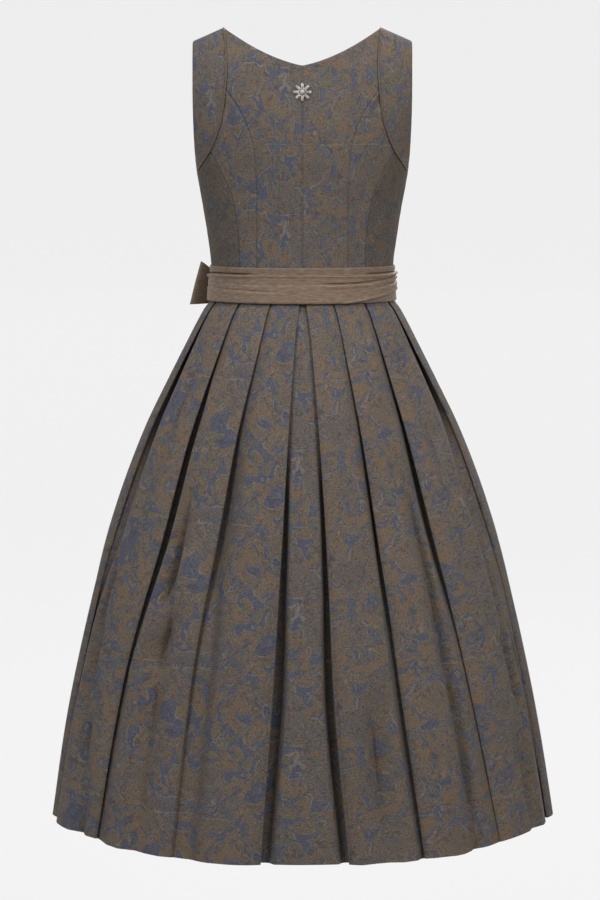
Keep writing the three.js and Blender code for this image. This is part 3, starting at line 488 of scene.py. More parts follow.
def makeJacquard(name, j, offset=(0.0, 0.0), dim=1.0, blue=1.0):
    w = Finish(name)
    place = w.vector("ADD", w.cloth(), (*offset, 0.0))
    x, y, _ = w.parts(place)
    # repeated down the cloth, and drawn unevenly as the woven figure is
    tile = w.joinParts(x, w.math("WRAP", y, j["repeatTall"], 0.0))

    def bend(where, scale, amount):
        push = w.vector("SUBTRACT", w.noise(where, scale, 1.0, output="Color"), (0.5, 0.5, 0.5))
        return w.vector("ADD", where, w.scaled(push, amount))

    def band(value, low, high, soft=0.012):
        return w.times(w.step(value, low - soft, low + soft), w.step(value, high + soft, high - soft))

    drawn = bend(bend(tile, 14, 0.030), 75, 0.005)
    figure = w.noise(w.vector("MULTIPLY", drawn, (1.15, 0.80, 1.0)), 35.0, 0.4, 0.5, 0.9)
    leaf = w.noise(w.vector("ADD", drawn, (3.1, 1.7, 0.0)), 60.0, 0.4, 0.5, 0.9)
    drop, tints, turn = paisley(w, bend(drawn, 24, 0.012), 15.0, 0.85, 3.2, 1.25)
    patches, broken, fine = w.noise(tile, 18, 1.0), w.noise(drawn, 66, 1.0), w.noise(drawn, 130, 1.0, 0.5, 1.6)
    mottle = w.noise(place, 640, 2.0, 0.65)
    ragged, chosen = w.step(broken, 0.40, 0.50), w.step(tints[2], 0.35, 0.40)
    dropped = w.times(w.step(drop, 0.47, 0.455), chosen)
    free = w.total((dropped, -0.75), base=1.0)
    colour = w.blend(w.step(figure, 0.34, 0.36), j["olive"], j["ground"])

    def lay(tint, *shares):
        # another yarn over what lies there, where all its shares are high
        nonlocal colour
        colour = w.blend(w.times(*shares), colour, j[tint] if isinstance(tint, str) else tint)

    # curly figures packed side by side, each of a near colour
    lay("brown", w.step(figure, 0.466, 0.478))
    lay("mauve", w.step(figure, 0.568, 0.580))
    lay("ochre", w.step(figure, 0.605, 0.618))
    # leaves within them
    lay("brown", w.step(leaf, 0.555, 0.568), 0.8)
    lay("ochre", w.step(leaf, 0.61, 0.62), 0.8)
    lay("olive", w.step(leaf, 0.425, 0.412), 0.7)
    lay("blue", w.step(leaf, 0.370, 0.358), 0.8 * blue)
    # curled drops over them
    lay(w.blend(w.step(tints[1], 0.45, 0.55), j["ground"], j["brown"]), dropped, 0.6)
    # narrow curly channels of blue between the figures, and round the drops
    lay("blue", band(figure, 0.372, 0.466), w.step(patches, 0.38, 0.46), free, 0.92 * blue)
    lay("blue", band(drop, 0.475, 0.545), chosen, ragged, 0.75 * blue)
    # light and dark threads along their edges
    lay("outline", band(figure, 0.470, 0.484, 0.006), ragged, free, 0.68)
    lay("outline", band(figure, 0.360, 0.372, 0.005), free, 0.55)
    lay("outline", band(figure, 0.532, 0.541, 0.005), 0.34)
    lay("outline", band(leaf, 0.540, 0.552, 0.006), 0.42)
    lay("shade", band(leaf, 0.430, 0.440, 0.005), 0.38)
    lay("shade", band(figure, 0.508, 0.516, 0.004), 0.40)
    lay("outline", band(drop, 0.452, 0.480), w.step(broken, 0.42, 0.52), chosen, 0.60)
    lay("outline", band(drop, 0.335, 0.352), dropped, 0.34)
    veins = w.math("ABSOLUTE", w.math("SINE", w.total((turn, 5.0), (drop, 17.0))))
    lay("shade", w.step(veins, 0.28, 0.12), dropped, 0.30)
    # the top of each repeat is a broken, stepped light line
    fromTop = w.parts(bend(bend(tile, 26, 0.006), 90, 0.003))[1]
    lay("outline", band(fromTop, 0.0035, 0.0050, 0.0006), w.step(w.noise(place, 22, 1.0), 0.46, 0.54), 0.5)
    # fine lines over the whole figure
    lay("outline", w.step(w.math("ABSOLUTE", w.math("SUBTRACT", fine, 0.5)), 0.028, 0.010), 0.26)
    lay("shade", w.step(fine, 0.585, 0.64), 0.40)
    # yarns of several colours, and their grain
    colour = w.blend(0.55, colour, w.noise(place, 620, 1.0, 0.6, output="Color"), "OVERLAY")
    lay("outline", w.step(mottle, 0.52, 0.72), 0.44)
    lay("shade", w.step(mottle, 0.48, 0.28), 0.60)
    lay("outline", w.step(w.noise(w.vector("MULTIPLY", place, (1900.0, 260.0, 1.0)), 1.0, 1.0), 0.5, 0.75), 0.22)
    lay("shade", w.step(w.noise(w.vector("MULTIPLY", place, (240.0, 1700.0, 1.0)), 1.0, 1.0), 0.5, 0.25), 0.26)
    fill = w.step(figure, 0.47, 0.50)
    threads = w.math("MAXIMUM", w.wave(x, j["thread"]), w.wave(y, j["thread"] * 1.3))
    relief = w.total((threads, 0.3), (fill, 0.6), (dropped, 0.35), (mottle, 1.2), (fine, 0.8))
    return w.wear({
        "Base Color": w.cloud(colour, place, 5.0, 0.24, dim),
        "Roughness": w.total((mottle, 0.14), (fill, -0.05), base=0.74),
        "Specular IOR Level": 0.22, "Sheen Weight": 0.06, "Sheen Roughness": 0.4,
        "Sheen Tint": tone(170, 165, 172), "Normal": w.bump(relief, 0.5, 0.0004)})


taffeta = {
    "base": tone(121, 101, 84),
    "light": tone(150, 129, 108),
    "dark": tone(80, 65, 52),
    "thread": 0.0004,
}


def makeTaffeta(name, t, dim=1.0):
    w = Finish(name)
    place = w.cloth()
    slub = w.noise(w.vector("MULTIPLY", place, (85.0, 720.0, 0.0)), 1.0, 3.0, 0.62)
    fine = w.noise(w.vector("MULTIPLY", place, (160.0, 1900.0, 0.0)), 1.0)
    colour = w.ramp(slub, [(0.24, t["dark"]), (0.5, t["base"]), (0.76, t["light"])])
    colour = w.blend(w.times(w.step(fine, 0.5, 0.75), 0.35), colour, t["light"])
    colour = w.blend(w.times(w.step(fine, 0.48, 0.25), 0.35), colour, t["dark"])
    relief = w.total((slub, 2.2), (fine, 0.9), (w.wave(w.parts(place)[0], t["thread"]), 0.12))
    return w.wear({
        "Base Color": w.cloud(colour, place, 9.0, 0.25, dim), "Roughness": w.total((fine, 0.2), base=0.42),
        "Specular IOR Level": 0.35, "Sheen Weight": 0.1, "Sheen Roughness": 0.35,
        "Sheen Tint": tone(200, 178, 150), "Normal": w.bump(relief, 0.4, 0.0003)})


def makeMetal(name):
    w = Finish(name)
    place = w.node("ShaderNodeTexCoord", {}).outputs["Object"]
    cast, tarnish = w.noise(place, 900, 3.0, 0.6), w.noise(place, 160, 3.0, 0.55)
    pits = w.node("ShaderNodeNewGeometry", {}).outputs["Pointiness"]
    colour = w.blend(w.step(tarnish, 0.42, 0.7), tone(150, 146, 141), tone(104, 99, 94))
    # darker where the surface is hollow, as its pointiness reads
    colour = w.blend(w.step(pits, 0.50, 0.42), colour, tone(48, 44, 41))
    return w.wear({"Base Color": colour, "Roughness": w.total((cast, 0.3), base=0.30), "Metallic": 1.0,
                   "Normal": w.bump(cast, 0.25, 0.0002)})


# each finish, with a slot name beside it
finishes = {
    "bodice": ("dress_cloth", makeJacquard("jacquardBodice", jacquard, (0.031, 0.043))),
    # the side panels' copy of the jacquard is darker by 0.76, painted shade where they turn away from the light, and
    # has fewer blue patches
    "bodiceSide": ("bodice_side", makeJacquard("jacquardBodiceSide", jacquard, (0.083, 0.117), dim=0.76, blue=0.4)),
    "yoke": ("dress_cloth", makeJacquard("jacquardYoke", jacquard, (0.140, 0.021))),
    "skirt": ("dress_cloth", makeJacquard("jacquardSkirt", jacquard, (0.012, 0.071))),
    "tie": ("tie_cloth", makeTaffeta("taffetaTie", taffeta)),
    # a copy of the taffeta made darker by 0.8, painted shade: the sash layer behind and the bow loops wear it
    "tieShade": ("tie_cloth", makeTaffeta("taffetaPaintedShade", taffeta, 0.8)),
    "piping": ("piping", makeTaffeta("taffetaPiping", taffeta, 0.55)),
    "metal": ("metal", makeMetal("castSilver")),
}
print("finishes mixed:", len(finishes))


# Bodice panels, each a grid between two seams

bodice = {
    "thickness": 1.4,
    "seamGap": -0.12,        # the panels meet in the groove
    "rowsPerStation": 5,
    "columns": 34,
    "outer": 0.7,          # the outer face stands this far out from the form
}

shoulderLevels = [0, -1.2, -5, -12, -22, -35, -50.5, -68]
pipingLevels = shoulderLevels + [-87, -107.5, -127, -149.5, -173, -188.5, levels["underarm"]]
innerLevels = [-87, -103, -118.5, -146.5, -179, -194.5, -211, -243.5, -293, -329.5, levels["waist"]]
outerLevels = [-173, -190.5, -207.5, -236.5, -284, -329.5, levels["waist"]]
sideLevels = [levels["underarm"], -236.5, -284, -329.5, levels["waist"]]
bustLevels = [-199.5, -219, -238.5, -265, -293, -310.5, -329.5, levels["waist"]]
princessLevels = [levels["armholePrincess"], -136, -147.5, -159.5, -175] + bustLevels
neckLevels = shoulderLevels + [-87, -108.5, -130, -141.5, levels["frontNeck"]]
armholeLevels = [z * 0.98 + levels["shoulderTip"] for z in shoulderLevels]

panels = table(
    "name finish leftSeam rightSeam left right",
    ("back_centre", "bodice", fixedAngle(0.0), joined(piping, innerSeam, innerLevels[0]),
     [levels["backNeck"], -56.5, -59, -62.5, -67, -72.5, -79.5, -86, -95, -108.5, -124, -149.5] + innerLevels[4:],
     shoulderLevels + innerLevels),
    ("back_middle", "bodice", innerSeam, joined(piping, outerSeam, outerLevels[0]),
     [-88] + innerLevels[1:], [-87.4, -107.5, -127, -149.5] + outerLevels),
    ("back_side", "bodiceSide", outerSeam, joined(piping, fixedAngle(math.pi / 2), levels["underarm"]),
     [-174] + outerLevels[1:], [-173.4, -188.5] + sideLevels),
    ("yoke_back", "yoke", piping, armholeBack, shoulderLevels + pipingLevels[8:-1] + [-201.5],
     armholeLevels + [-104.5, -122, -139, -156.5, -175, -188.5, -201.5]),
    ("front", "bodice", joined(neckFront, fixedAngle(math.pi), levels["frontNeck"]),
     joined(armholeFront, princess, levels["armholePrincess"]),
     neckLevels + [-173] + bustLevels, armholeLevels + [-103.5] + princessLevels),
    ("front_side", "bodiceSide", princess, joined(armholeFront, fixedAngle(math.pi / 2), levels["underarm"]),
     [-123.5] + princessLevels[1:],
     [-122.5, -137, -148.5, -162, -181, levels["underarm"], -226, -255.5, -284, -298.5, -314.5, -329.5,
      levels["waist"]]))
neckDip = {"panel": "back_centre", "deep": 6.5, "crowd": 1.35}     # the back neckline sags between its ends

# soft folds that the worn bodice shows: two ends as x and z, how wide and how deep
bodiceFolds = {
    "right": table("from to wide deep", ((111, -92), (97, -124), 4.5, 1.5), ((122, -300), (84, -318), 6, 0.9),
                   ((124, -268), (98, -262), 5, 0.7)),
    "left": table("from to wide deep", ((124, -318), (86, -308), 6, 0.9), ((108, -104), (100, -130), 5, 0.7)),
}


def spread(stations, between):
    # stations with even steps between each pair
    stations = np.asarray(stations, float)
    steps = np.arange(len(stations) * between - between + 1) / between
    return np.interp(steps, np.arange(len(stations)), stations)


def bodiceGrid(panel, columns, between, lift):
    leftZ, rightZ = spread(panel["left"], between)[:, None], spread(panel["right"], between)[:, None]
    start, end = panel["leftSeam"](leftZ), panel["rightSeam"](rightZ)
    turn = np.sign(end - start)

    def inset(angle, z):
        return bodice["seamGap"] / np.hypot(bodiceHalfWidth(z) * np.cos(angle), bodiceDepth(angle, z) * np.sin(angle))

    even = np.linspace(0, 1, columns)[None, :]
    share = mix(even, 0.5 - 0.5 * np.cos(math.pi * even), 0.9)
    dips = panel.get("name") == neckDip["panel"]
    if dips:
        share = 1 - (1 - share) ** neckDip["crowd"]
    angle = mix(start + turn * inset(start, leftZ), end - turn * inset(end, rightZ), share)
    z = mix(leftZ, rightZ, share)
    if dips:
        sag = neckDip["deep"] * (1 - smooth((panel["left"][0] - leftZ) / 150))
        z = z - sag * np.sin(math.pi * share ** 0.8)
    else:
        lineLeft = shoulderLine(bodiceHalfWidth(leftZ) * np.sin(start))
        lineRight = shoulderLine(bodiceHalfWidth(rightZ) * np.sin(end))
        arch = shoulderLine(bodiceHalfWidth(z) * np.sin(angle)) - mix(lineLeft, lineRight, share)
        z = z + (1 - smooth((lineLeft - leftZ) / 130)) * arch
    points = bodicePoint(angle, z)
    normal = outwardOf(points)
    return points + normal * lift, normal, np.stack([aroundBodice(angle, z), -z], -1)


def pressFolds(points, normal, folds):
    moved = points.copy()
    for fold in folds:
        start, wide = np.array(fold["from"], float), fold["wide"]
        run = fold["to"] - start
        here = np.stack([np.abs(points[..., 0]), points[..., 2]], -1) - start
        along = np.clip((here @ run) / (run @ run), 0, 1)
        away = np.linalg.norm(here - along[..., None] * run, axis=-1)
        fade = np.sin(math.pi * np.clip(along, 0.02, 0.98)) ** 0.6
        shape = -np.exp(-(away / wide) ** 2) + 0.55 * np.exp(-((away - 1.7 * wide) / wide) ** 2)
        moved += normal * (fold["deep"] * shape * fade)[..., None]
    return moved


def sewBodice(b):
    for panel in panels:
        name = panel["name"]
        flat, normal, cloth = bodiceGrid(panel, b["columns"], b["rowsPerStation"], b["outer"])
        edges = ("left", "right", "top") if name == neckDip["panel"] else ("left", "right")
        for label, side in bothSides:
            seed = 1.3 * len(name) + side
            points = turnEdges(flat, normal, edges, seed=seed)
            if name.startswith("back"):
                points = pressFolds(points, normal, bodiceFolds[label])
            x, z = points[..., 0], points[..., 2]
            sway = 0.35 * wrinkle(z + 0.6 * x, seed, 95) * np.sin(x / 31 + seed)
            points = points + normal * sway[..., None]
            sewWall(f"{name}_{label}", points * (side, 1, 1), cloth * (side, 1), b["thickness"], panel["finish"],
                    normal=normal * (side, 1, 1))
    print("bodice sewn:", len(panels) * 2, "panels")


sewBodice(bodice)


# The corded piping in the curved back seams

cording = {"radius": 1.35, "from": -2.4, "to": -198, "steps": 150, "sides": 14, "lift": 0.7,
           "twist": 1.4, "ripple": 0.03}


def runCord(node, path, outward, c):
    count, sides, radius = len(path), c["sides"], c["radius"]
    ahead = np.gradient(path, axis=0)
    ahead /= np.linalg.norm(ahead, axis=1, keepdims=True)
    out = outward - ahead * (outward * ahead).sum(1, keepdims=True)
    out /= np.linalg.norm(out, axis=1, keepdims=True)
    aside = np.cross(ahead, out)
    run = runAlong(path, 0)
    turn = np.linspace(0, 2 * math.pi, sides, endpoint=False)
    girth = radius * (1 + c["ripple"] * np.sin(turn[None, :] * 2 + run[:, None] * c["twist"]))
    ring = out[:, None] * np.cos(turn)[None, :, None] + aside[:, None] * np.sin(turn)[None, :, None]
    points = path[:, None] + ring * girth[..., None]
    corners = np.concatenate([points.reshape(-1, 3), path[:1], path[-1:]]) * mm
    faces = ringFaces(count, sides)
    places = [(k * 0.4 * radius, run[m]) for n in range(count - 1) for s in range(sides)
              for k, m in ((s, n), (s + 1, n), (s + 1, n + 1), (s, n + 1))]
    for s in range(sides):
        t, last = (s + 1) % sides, (count - 1) * sides
        faces += [(count * sides, t, s), (count * sides + 1, last + s, last + t)]
        places += [(0, 0)] * 6
    addPiece(node, "cord", corners, faces, "piping", places)


def layPiping(c):
    z = mix(c["from"], c["to"], np.linspace(0, 1, c["steps"]) ** 1.3)
    angle = piping(z)
    path = bodicePoint(angle, z)
    near = bodicePoint(angle + 0.01, z) - bodicePoint(angle - 0.01, z)
    out = np.cross(near, np.gradient(path, axis=0))
    out /= np.linalg.norm(out, axis=1, keepdims=True)
    if out[:, 1].sum() > 0:
        out = -out
    path = path + out * (c["lift"] + c["radius"] * 0.55)
    for label, side in bothSides:
        runCord(f"piping_{label}", path * (side, 1, 1), out * (side, 1, 1), c)
    print("piping laid")


layPiping(cording)


# The skirt: sixteen laid pleats that open towards the hem

skirtForm = curves(
    "z halfWidth depth",
    (-358, 127.9, 94), (-383, 131, 97), (-395, 139, 102), (-414.5, 149.5, 110), (-446.5, 165.1, 121),
    (-496.5, 189.3, 136), (-566.5, 222, 154), (-657.5, 256.4, 173), (-774.5, 291.8, 192), (-902.5, 321.6, 207),
    (-1021.5, 345, 218), (-1139, 363.8, 227))
skirtHalfWidth, skirtDepth = skirtForm["halfWidth"], skirtForm["depth"]

# the hem isn't level: its rise at angles from the centre back
hemSwing = curve([(0, -10), (20, -8.5), (35, -5.5), (48, -0.5), (60, 5), (75, 6), (95, 4), (120, 0), (180, 0)])

# pleat edges in degrees from the centre back, at shares of the way to the hem
foldLevels = [0, 0.1, 0.25, 0.45, 0.7, 1]
frontFolds = [
    [97.4, 98.5, 100, 101, 102, 103],
    [125.7, 126, 127, 128, 129, 131],
    [147, 148, 150, 151, 153, 154],
    [166, 167, 169, 171, 172, 173],
]
folds = {
    "right": [
        [1.2, 4.8, 6.4, 7.6, 8.3, 10.8],
        [19.8, 21.2, 22.3, 23.2, 25.1, 28.2],
        [43.2, 42.6, 42, 43, 46.5, 51],
        [68.4, 73, 79, 79.5, 80, 81.5],
    ] + frontFolds,
    "left": [
        [1.2, 4, 5.4, 6.5, 7.9, 9.7],
        [19.8, 21.9, 24.6, 26.2, 29, 30.5],
        [42.5, 44.5, 45.6, 46.5, 51.5, 54],
        [68.6, 74.5, 79, 80.5, 81.5, 82.5],
    ] + frontFolds,
}
pleats = {
    "panel": [41.8, 47.5, 46, 51, 49, 42, 41, 31],
    "under": [33, 38, 36.5, 40.5, 38.5, 28.5, 28, 24],
    "layer": 1.9,
    "flare": 0.16,
    "centreUnderlay": 1.5,
}
opening = curves(
    "level depth bulge centre soft edge roll gap upper",
    (0, 3.8, 0, 3.8, 0, 1.9, 0, 0, 0),
    (0.045, 5.2, 0.2, 4.7, 0.1, 2, 0.1, 0, 0),
    (0.12, 11, 1.5, 6, 0.5, 2.6, 0.3, 0, 0),
    (0.27, 20, 3.5, 8, 0.85, 4.5, 0.8, 1, 8),
    (0.5, 32, 5, 9, 1, 9, 2.5, 10, 8),
    (0.75, 37, 5, 10, 1, 12, 4, 20, 0),
    (1, 31, 4.5, 11, 1, 11, 4.5, 18, 0))
centreShape = curve([(0, 0), (0.45, 0.2), (0.8, 0.72), (1, 1)])

# how far each edge, from the middle outwards, opens and stands off lower down
standing = {
    "left": {"gap": [1, 0.05, 0.15, 0.1, 0.3, 0.3, 0.3, 0.3], "upper": [0, 0.1, 1, 0, 0, 0, 0, 0],
             "depth": [0.95, 0.34, 0.3, 0.25, 0.5, 0.5, 0.5, 0.5]},
    "right": {"gap": [0.75, 0.35, 0.05, 0.1, 0.3, 0.3, 0.3, 0.3], "upper": [0, 0.1, 0.2, 0, 0, 0, 0, 0],
              "depth": [0.95, 0.36, 0.22, 0.25, 0.5, 0.5, 0.5, 0.5]},
}

skirt = {
    "top": -358.35,
    "thickness": 1.1,
    "outer": 0.55,
    "rows": 118,
    "panelSteps": (7, 4, 10, 5),    # rolled edge, flat, turning in, under the next
    "centreSteps": 18,
    "rollWidth": 15,
    "returnSteps": 7,
    "hairpinSteps": 5,
    "endSteps": 12,
    "sideSeam": 0.82,      # at this share of its panel's steps
    "swell": 0.16,         # how much the panels differ in their bulge
    "ripple": 1.1,
}


def hairpin(fromSink, toSink, along, outward, steps):
    # half a turn of cloth between two layers
    radius, middle, half = abs(toSink - fromSink) / 2, (fromSink + toSink) / 2, (toSink - fromSink) / 2
    turns = [math.pi * n / steps for n in range(1, steps)]
    return [(along + outward * radius * math.sin(turn), middle - half * math.cos(turn)) for turn in turns]


def returnPath(pitch, inner, depth, layer, state):
    # round the inner fold, back to the edge of the next panel, and round it
    sink, steps = depth - layer, skirt["returnSteps"]
    edge = max(min(state["edge"], max(sink, pleats["layer"])), state["roll"] + 1.2)
    path = hairpin(depth, sink, inner, 1, skirt["hairpinSteps"])
    path += [(mix(inner, pitch, n / (steps - 1)), mix(sink, edge, n / (steps - 1))) for n in range(steps)]
    return path + hairpin(edge, state["roll"], pitch, -1, skirt["hairpinSteps"] + 1)


def rollSink(along, roll, width):
    # the rounded edge of a panel, a quarter turn
    near = max(0.0, 1 - along / width)
    return roll * (1 - math.sqrt(max(0.0, 1 - near * near)))


def ownState(state, shares, n, level):
    # the opening at one edge
    stand = mix(1, shares["depth"][n], float(smooth((level - 0.3) / 0.35)))
    gap = state["gap"] * shares["gap"][n] + state["upper"] * shares["upper"][n]
    return {**state, "depth": state["depth"] * stand, "edge": state["edge"] * stand, "gap": gap}


def pleatPath(pitch, clothLength, state, swell):
    length = max(clothLength, pitch * 1.015)
    reach = math.sqrt(length ** 2 - pitch ** 2) / 2
    depth = min(state["depth"], reach * 0.9)
    inner = pitch / 2 + (length / 2) * math.sqrt(1 - (depth / reach) ** 2)
    soft, gap, parted = state["soft"], state["gap"], min(1, state["gap"] / 4)
    turnIn = mix(pitch - 6.5, pitch * 0.42, soft)
    turnedIn = min(mix(pitch - 0.9, inner, soft), inner)
    turnedIn = mix(turnedIn, min(pitch + 2 - 0.7 * gap, inner - 2), parted)
    turnIn = mix(turnIn, max(pitch * 0.12, turnedIn - 10 - 0.35 * gap), parted)
    bulge = state["bulge"] * swell
    rolled = min(skirt["rollWidth"], turnIn * 0.5)
    turned = min(turnedIn, inner - 0.15 * (inner - turnIn))
    first = skirt["panelSteps"][0]
    places = [rolled * (1 - math.cos(math.pi / 2 * n / (first - 1))) for n in range(first)]
    for start, end, steps in zip((rolled, turnIn, turned), (turnIn, turned, inner), skirt["panelSteps"][1:]):
        places += [mix(start, end, n / steps) for n in range(1, steps + 1)]
    path = []
    for along in places:
        sink = depth * float(smooth((along - turnIn) / (turnedIn - turnIn)))
        sink -= bulge * math.sin(math.pi * min(along, pitch) / pitch)
        path.append((along, sink + rollSink(along, state["roll"], rolled)))
    return path + returnPath(pitch, inner, depth, min(pleats["layer"], depth / 2), state)


def centrePath(pitch, clothLength, state):
    start, gap, steps = state["centre"], state["gap"], skirt["centreSteps"]
    depth = max(state["depth"] * 0.95, start)
    low, high = pitch * 0.5, clothLength
    for _ in range(40):
        middle = (low + high) / 2
        if math.hypot(middle, depth - start) + math.hypot(middle - pitch, depth) > clothLength:
            high = middle
        else:
            low = middle
    inner = max(low, pitch + 5)
    turnedIn = min(pitch + 2 - 0.75 * gap, inner - 2)
    turnIn = turnedIn - 9 - 0.1 * gap
    path = []
    for n in range(steps):
        share = n / (steps - 1)
        turned = float(smooth((inner * share - turnIn) / (turnedIn - turnIn)))
        shape = mix(float(centreShape(share)), turned, min(1, gap / 4))
        path.append((inner * share, mix(start, depth, shape)))
    return path + returnPath(pitch, inner, depth, min(pleats["layer"], depth / 2), state)


# soft troughs, and ridges where deep is negative: angle at shares of the way down
foldColumns = "from to deep wide line"
softFolds = {
    "left": table(
        foldColumns,
        (0.27, 2, 25, 10, [(0.25, 40), (0.5, 40), (0.7, 38.7), (1, 39.5)]),
        (0.42, 2, -4, 12, [(0.3, 44), (0.6, 44.5), (1, 46)]),
        (0.46, 2, 9, 9, [(0.3, 24), (0.6, 24), (0.8, 25), (1, 26)]),
        (0.42, 2, 21, 11, [(0.3, 66), (0.7, 68), (0.85, 64), (1, 61)]),
        (0.5, 2, -3, 18, [(0.3, 12), (1, 15)]),
        (0.06, 0.5, 6, 11, [(0.1, 32), (0.3, 33), (0.5, 35)]),
        (0.05, 0.56, 8, 11, [(0.1, 56), (0.3, 58), (0.5, 60)])),
    "right": table(
        foldColumns,
        (0.28, 2, 20, 10, [(0.3, 36), (0.5, 38), (0.7, 40), (0.8, 41.3), (1, 42.5)]),
        (0.5, 2, -4, 12, [(0.3, 31), (0.7, 33.5), (1, 36)]),
        (0.42, 2, 21, 11, [(0.3, 68), (0.7, 67), (1, 65.5)]),
        (0.5, 2, -3, 16, [(0.3, 11.5), (1, 13)]),
        (0.66, 2, 20, 9, [(0.3, 17), (0.8, 17.6), (1, 18.2)]),
        (0.05, 0.56, 8, 11, [(0.1, 52), (0.3, 54), (0.5, 57)]),
        (0.1, 0.45, 5, 11, [(0.1, 31), (0.3, 33), (0.5, 35)])),
    "both": table(
        foldColumns,
        (0.4, 2, 6, 18, [(0.3, 116), (1, 121)]),
        (0.4, 2, 6, 18, [(0.3, 140), (1, 144)]),
        (0.45, 2, 5, 16, [(0.3, 90), (1, 92)])),
}


def hangFolds(angle, level, folds):
    out = 0 * angle
    for fold in folds:
        shown = smooth((level - fold["from"]) / 0.16) * smooth((fold["to"] - level) / 0.12)
        shown = shown * (1 - 0.3 * smooth((level - 0.85) / 0.15))
        arc = np.radians(np.degrees(angle) - curve(fold["line"])(level)) * 300
        out = out - shown * fold["deep"] * np.exp(-(arc / fold["wide"]) ** 2)
    return out


def halfSection(z, lines, shares, sideSeed):
    # angle, sink and cloth length for one half of a horizontal section
    level = min(1, max(0, (skirt["top"] - z) / (skirt["top"] - levels["hem"])))
    state = {column: float(read(level)) for column, read in opening.items()}
    halfWidth, depth = float(skirtHalfWidth(z)), float(skirtDepth(z))
    edges = [math.radians(float(read(level))) for read in lines]
    section, used = [], 0.0

    def speed(angle):
        return math.hypot(halfWidth * math.cos(angle), depth * math.sin(angle))

    def lay(path, start, end, pitch, length):
        nonlocal used
        runs = [0.0]
        for before, here in zip(path, path[1:]):
            runs.append(runs[-1] + math.hypot(here[0] - before[0], here[1] - before[1]))
        for (along, sink), run in zip(path, runs):
            section.append((start + along / pitch * (end - start), sink, used + length * run / runs[-1]))
        used += length

    widening = 1 + pleats["flare"] * level
    pitch = edges[0] * speed(edges[0] / 2)
    length = pleats["centreUnderlay"] + 2 * pleats["under"][0]
    lay(centrePath(pitch, length * widening, ownState(state, shares, 0, level)), 0, edges[0], pitch, length)
    for n in range(len(edges) - 1):
        pitch = (edges[n + 1] - edges[n]) * speed((edges[n] + edges[n + 1]) / 2)
        length = pleats["panel"][n] + 2 * pleats["under"][n + 1]
        swell = 1 + skirt["swell"] * math.sin(2.1 * n + 1.7 * sideSeed + 3.1 * level)
        path = pleatPath(pitch, length * widening, ownState(state, shares, n + 1, level), swell)
        lay(path, edges[n], edges[n + 1], pitch, length)
    for n in range(skirt["endSteps"]):
        share = n / (skirt["endSteps"] - 1)
        bulge = state["bulge"] * math.sin(math.pi / 2 * share)
        along = pleats["panel"][-1] * share
        sink = rollSink(along, state["roll"], skirt["rollWidth"]) - bulge
        section.append((mix(edges[-1], math.pi, share), sink, used + along))
    return section


def skirtPoints(angle, z, out):
    halfWidth, depth = skirtHalfWidth(z), skirtDepth(z)
    x, y = halfWidth * np.sin(angle), -depth * np.cos(angle)
    nx, ny = depth * np.sin(angle), -halfWidth * np.cos(angle)
    size = np.hypot(nx, ny)
    return np.stack([x + nx / size * out, y + ny / size * out, z + 0 * x], -1)


def sewSkirt():
    share = np.linspace(0, 1, skirt["rows"])
    z = mix(skirt["top"], levels["hem"], mix(share, share ** 1.7, 0.6))
    level = ((z[0] - z) / (z[0] - z[-1]))[:, None]
    halves = {}
    for label, side in bothSides:
        seed = 1.5 + side / 2
        lines = [curve(zip(foldLevels, row)) for row in folds[label]]
        section = np.array([halfSection(float(height), lines, standing[label], seed) for height in z])
        angle, sink, run = section[..., 0], section[..., 1], section[..., 2]
        # slow sway of the hanging cloth, growing towards the hem
        sway = skirt["ripple"] * smooth(level * 1.6) * (
            wrinkle(run + 40 * level, seed, 120) * np.sin(2.2 * math.pi * level + run / 90 + seed)
            + 0.6 * wrinkle(run * 0.6 + 260 * level, seed + 4, 150))
        sway = sway + hangFolds(angle, level, softFolds[label] + softFolds["both"])
        points = skirtPoints(angle, z[:, None], skirt["outer"] - sink + sway)
        points[..., 2] += level ** 2 * hemSwing(np.degrees(angle))
        # the sunken parts hang a little lower, so that the hem looks even
        lower = (0.12 * np.cos(angle) + 0.24 * np.sin(angle)) * smooth((2.2 - angle) / 0.5)
        points[..., 2] -= level ** 5 * np.maximum(0, sink - sway) * lower
        straight = runAlong(np.stack([z, skirtDepth(z)], -1), 0)[:, None]
        cloth = np.stack([run, mix(straight, runAlong(points, 0), 0.5)], -1)
        halves[label] = (points * (side, 1, 1), cloth * (side, 1))
    panelCount = sum(skirt["panelSteps"])
    turns = 2 * skirt["hairpinSteps"] - 1 + skirt["returnSteps"]
    # the column where the side seam runs
    seam = skirt["centreSteps"] + turns + 3 * (panelCount + turns) + int(panelCount * skirt["sideSeam"])
    for label, (points, cloth) in halves.items():
        sewWall(f"skirt_back_{label}", points[:, : seam + 1], cloth[:, : seam + 1], skirt["thickness"], "skirt")
    right, rightCloth = halves["right"]
    left, leftCloth = (part[:, seam:-1][:, ::-1] for part in halves["left"])
    points = np.concatenate([right[:, seam:], left], axis=1)
    leftCloth = leftCloth + np.stack([2 * rightCloth[:, -1:, 0], 0 * rightCloth[:, -1:, 0]], -1)
    cloth = np.concatenate([rightCloth[:, seam:], leftCloth], axis=1)
    sewWall("skirt_front", points, cloth, skirt["thickness"], "skirt")
    print("skirt pleated: 16 pleats")


sewSkirt()


# The ties wound round the waist

sash = {
    "top": -333.5,
    "bottom": -383,
    "rows": 70,
    "columns": 440,
    "thickness": 1.3,
    "overSkirt": 0.35,         # how much farther it stands out below the waist
    "weaveSize": (720, 50),        # round and down the band, for its weave
}
sashStand = curve([(0, 3.15), (96, 3.35), (122, 9.05), (180, 9.05)])      # how far out, at angles either way

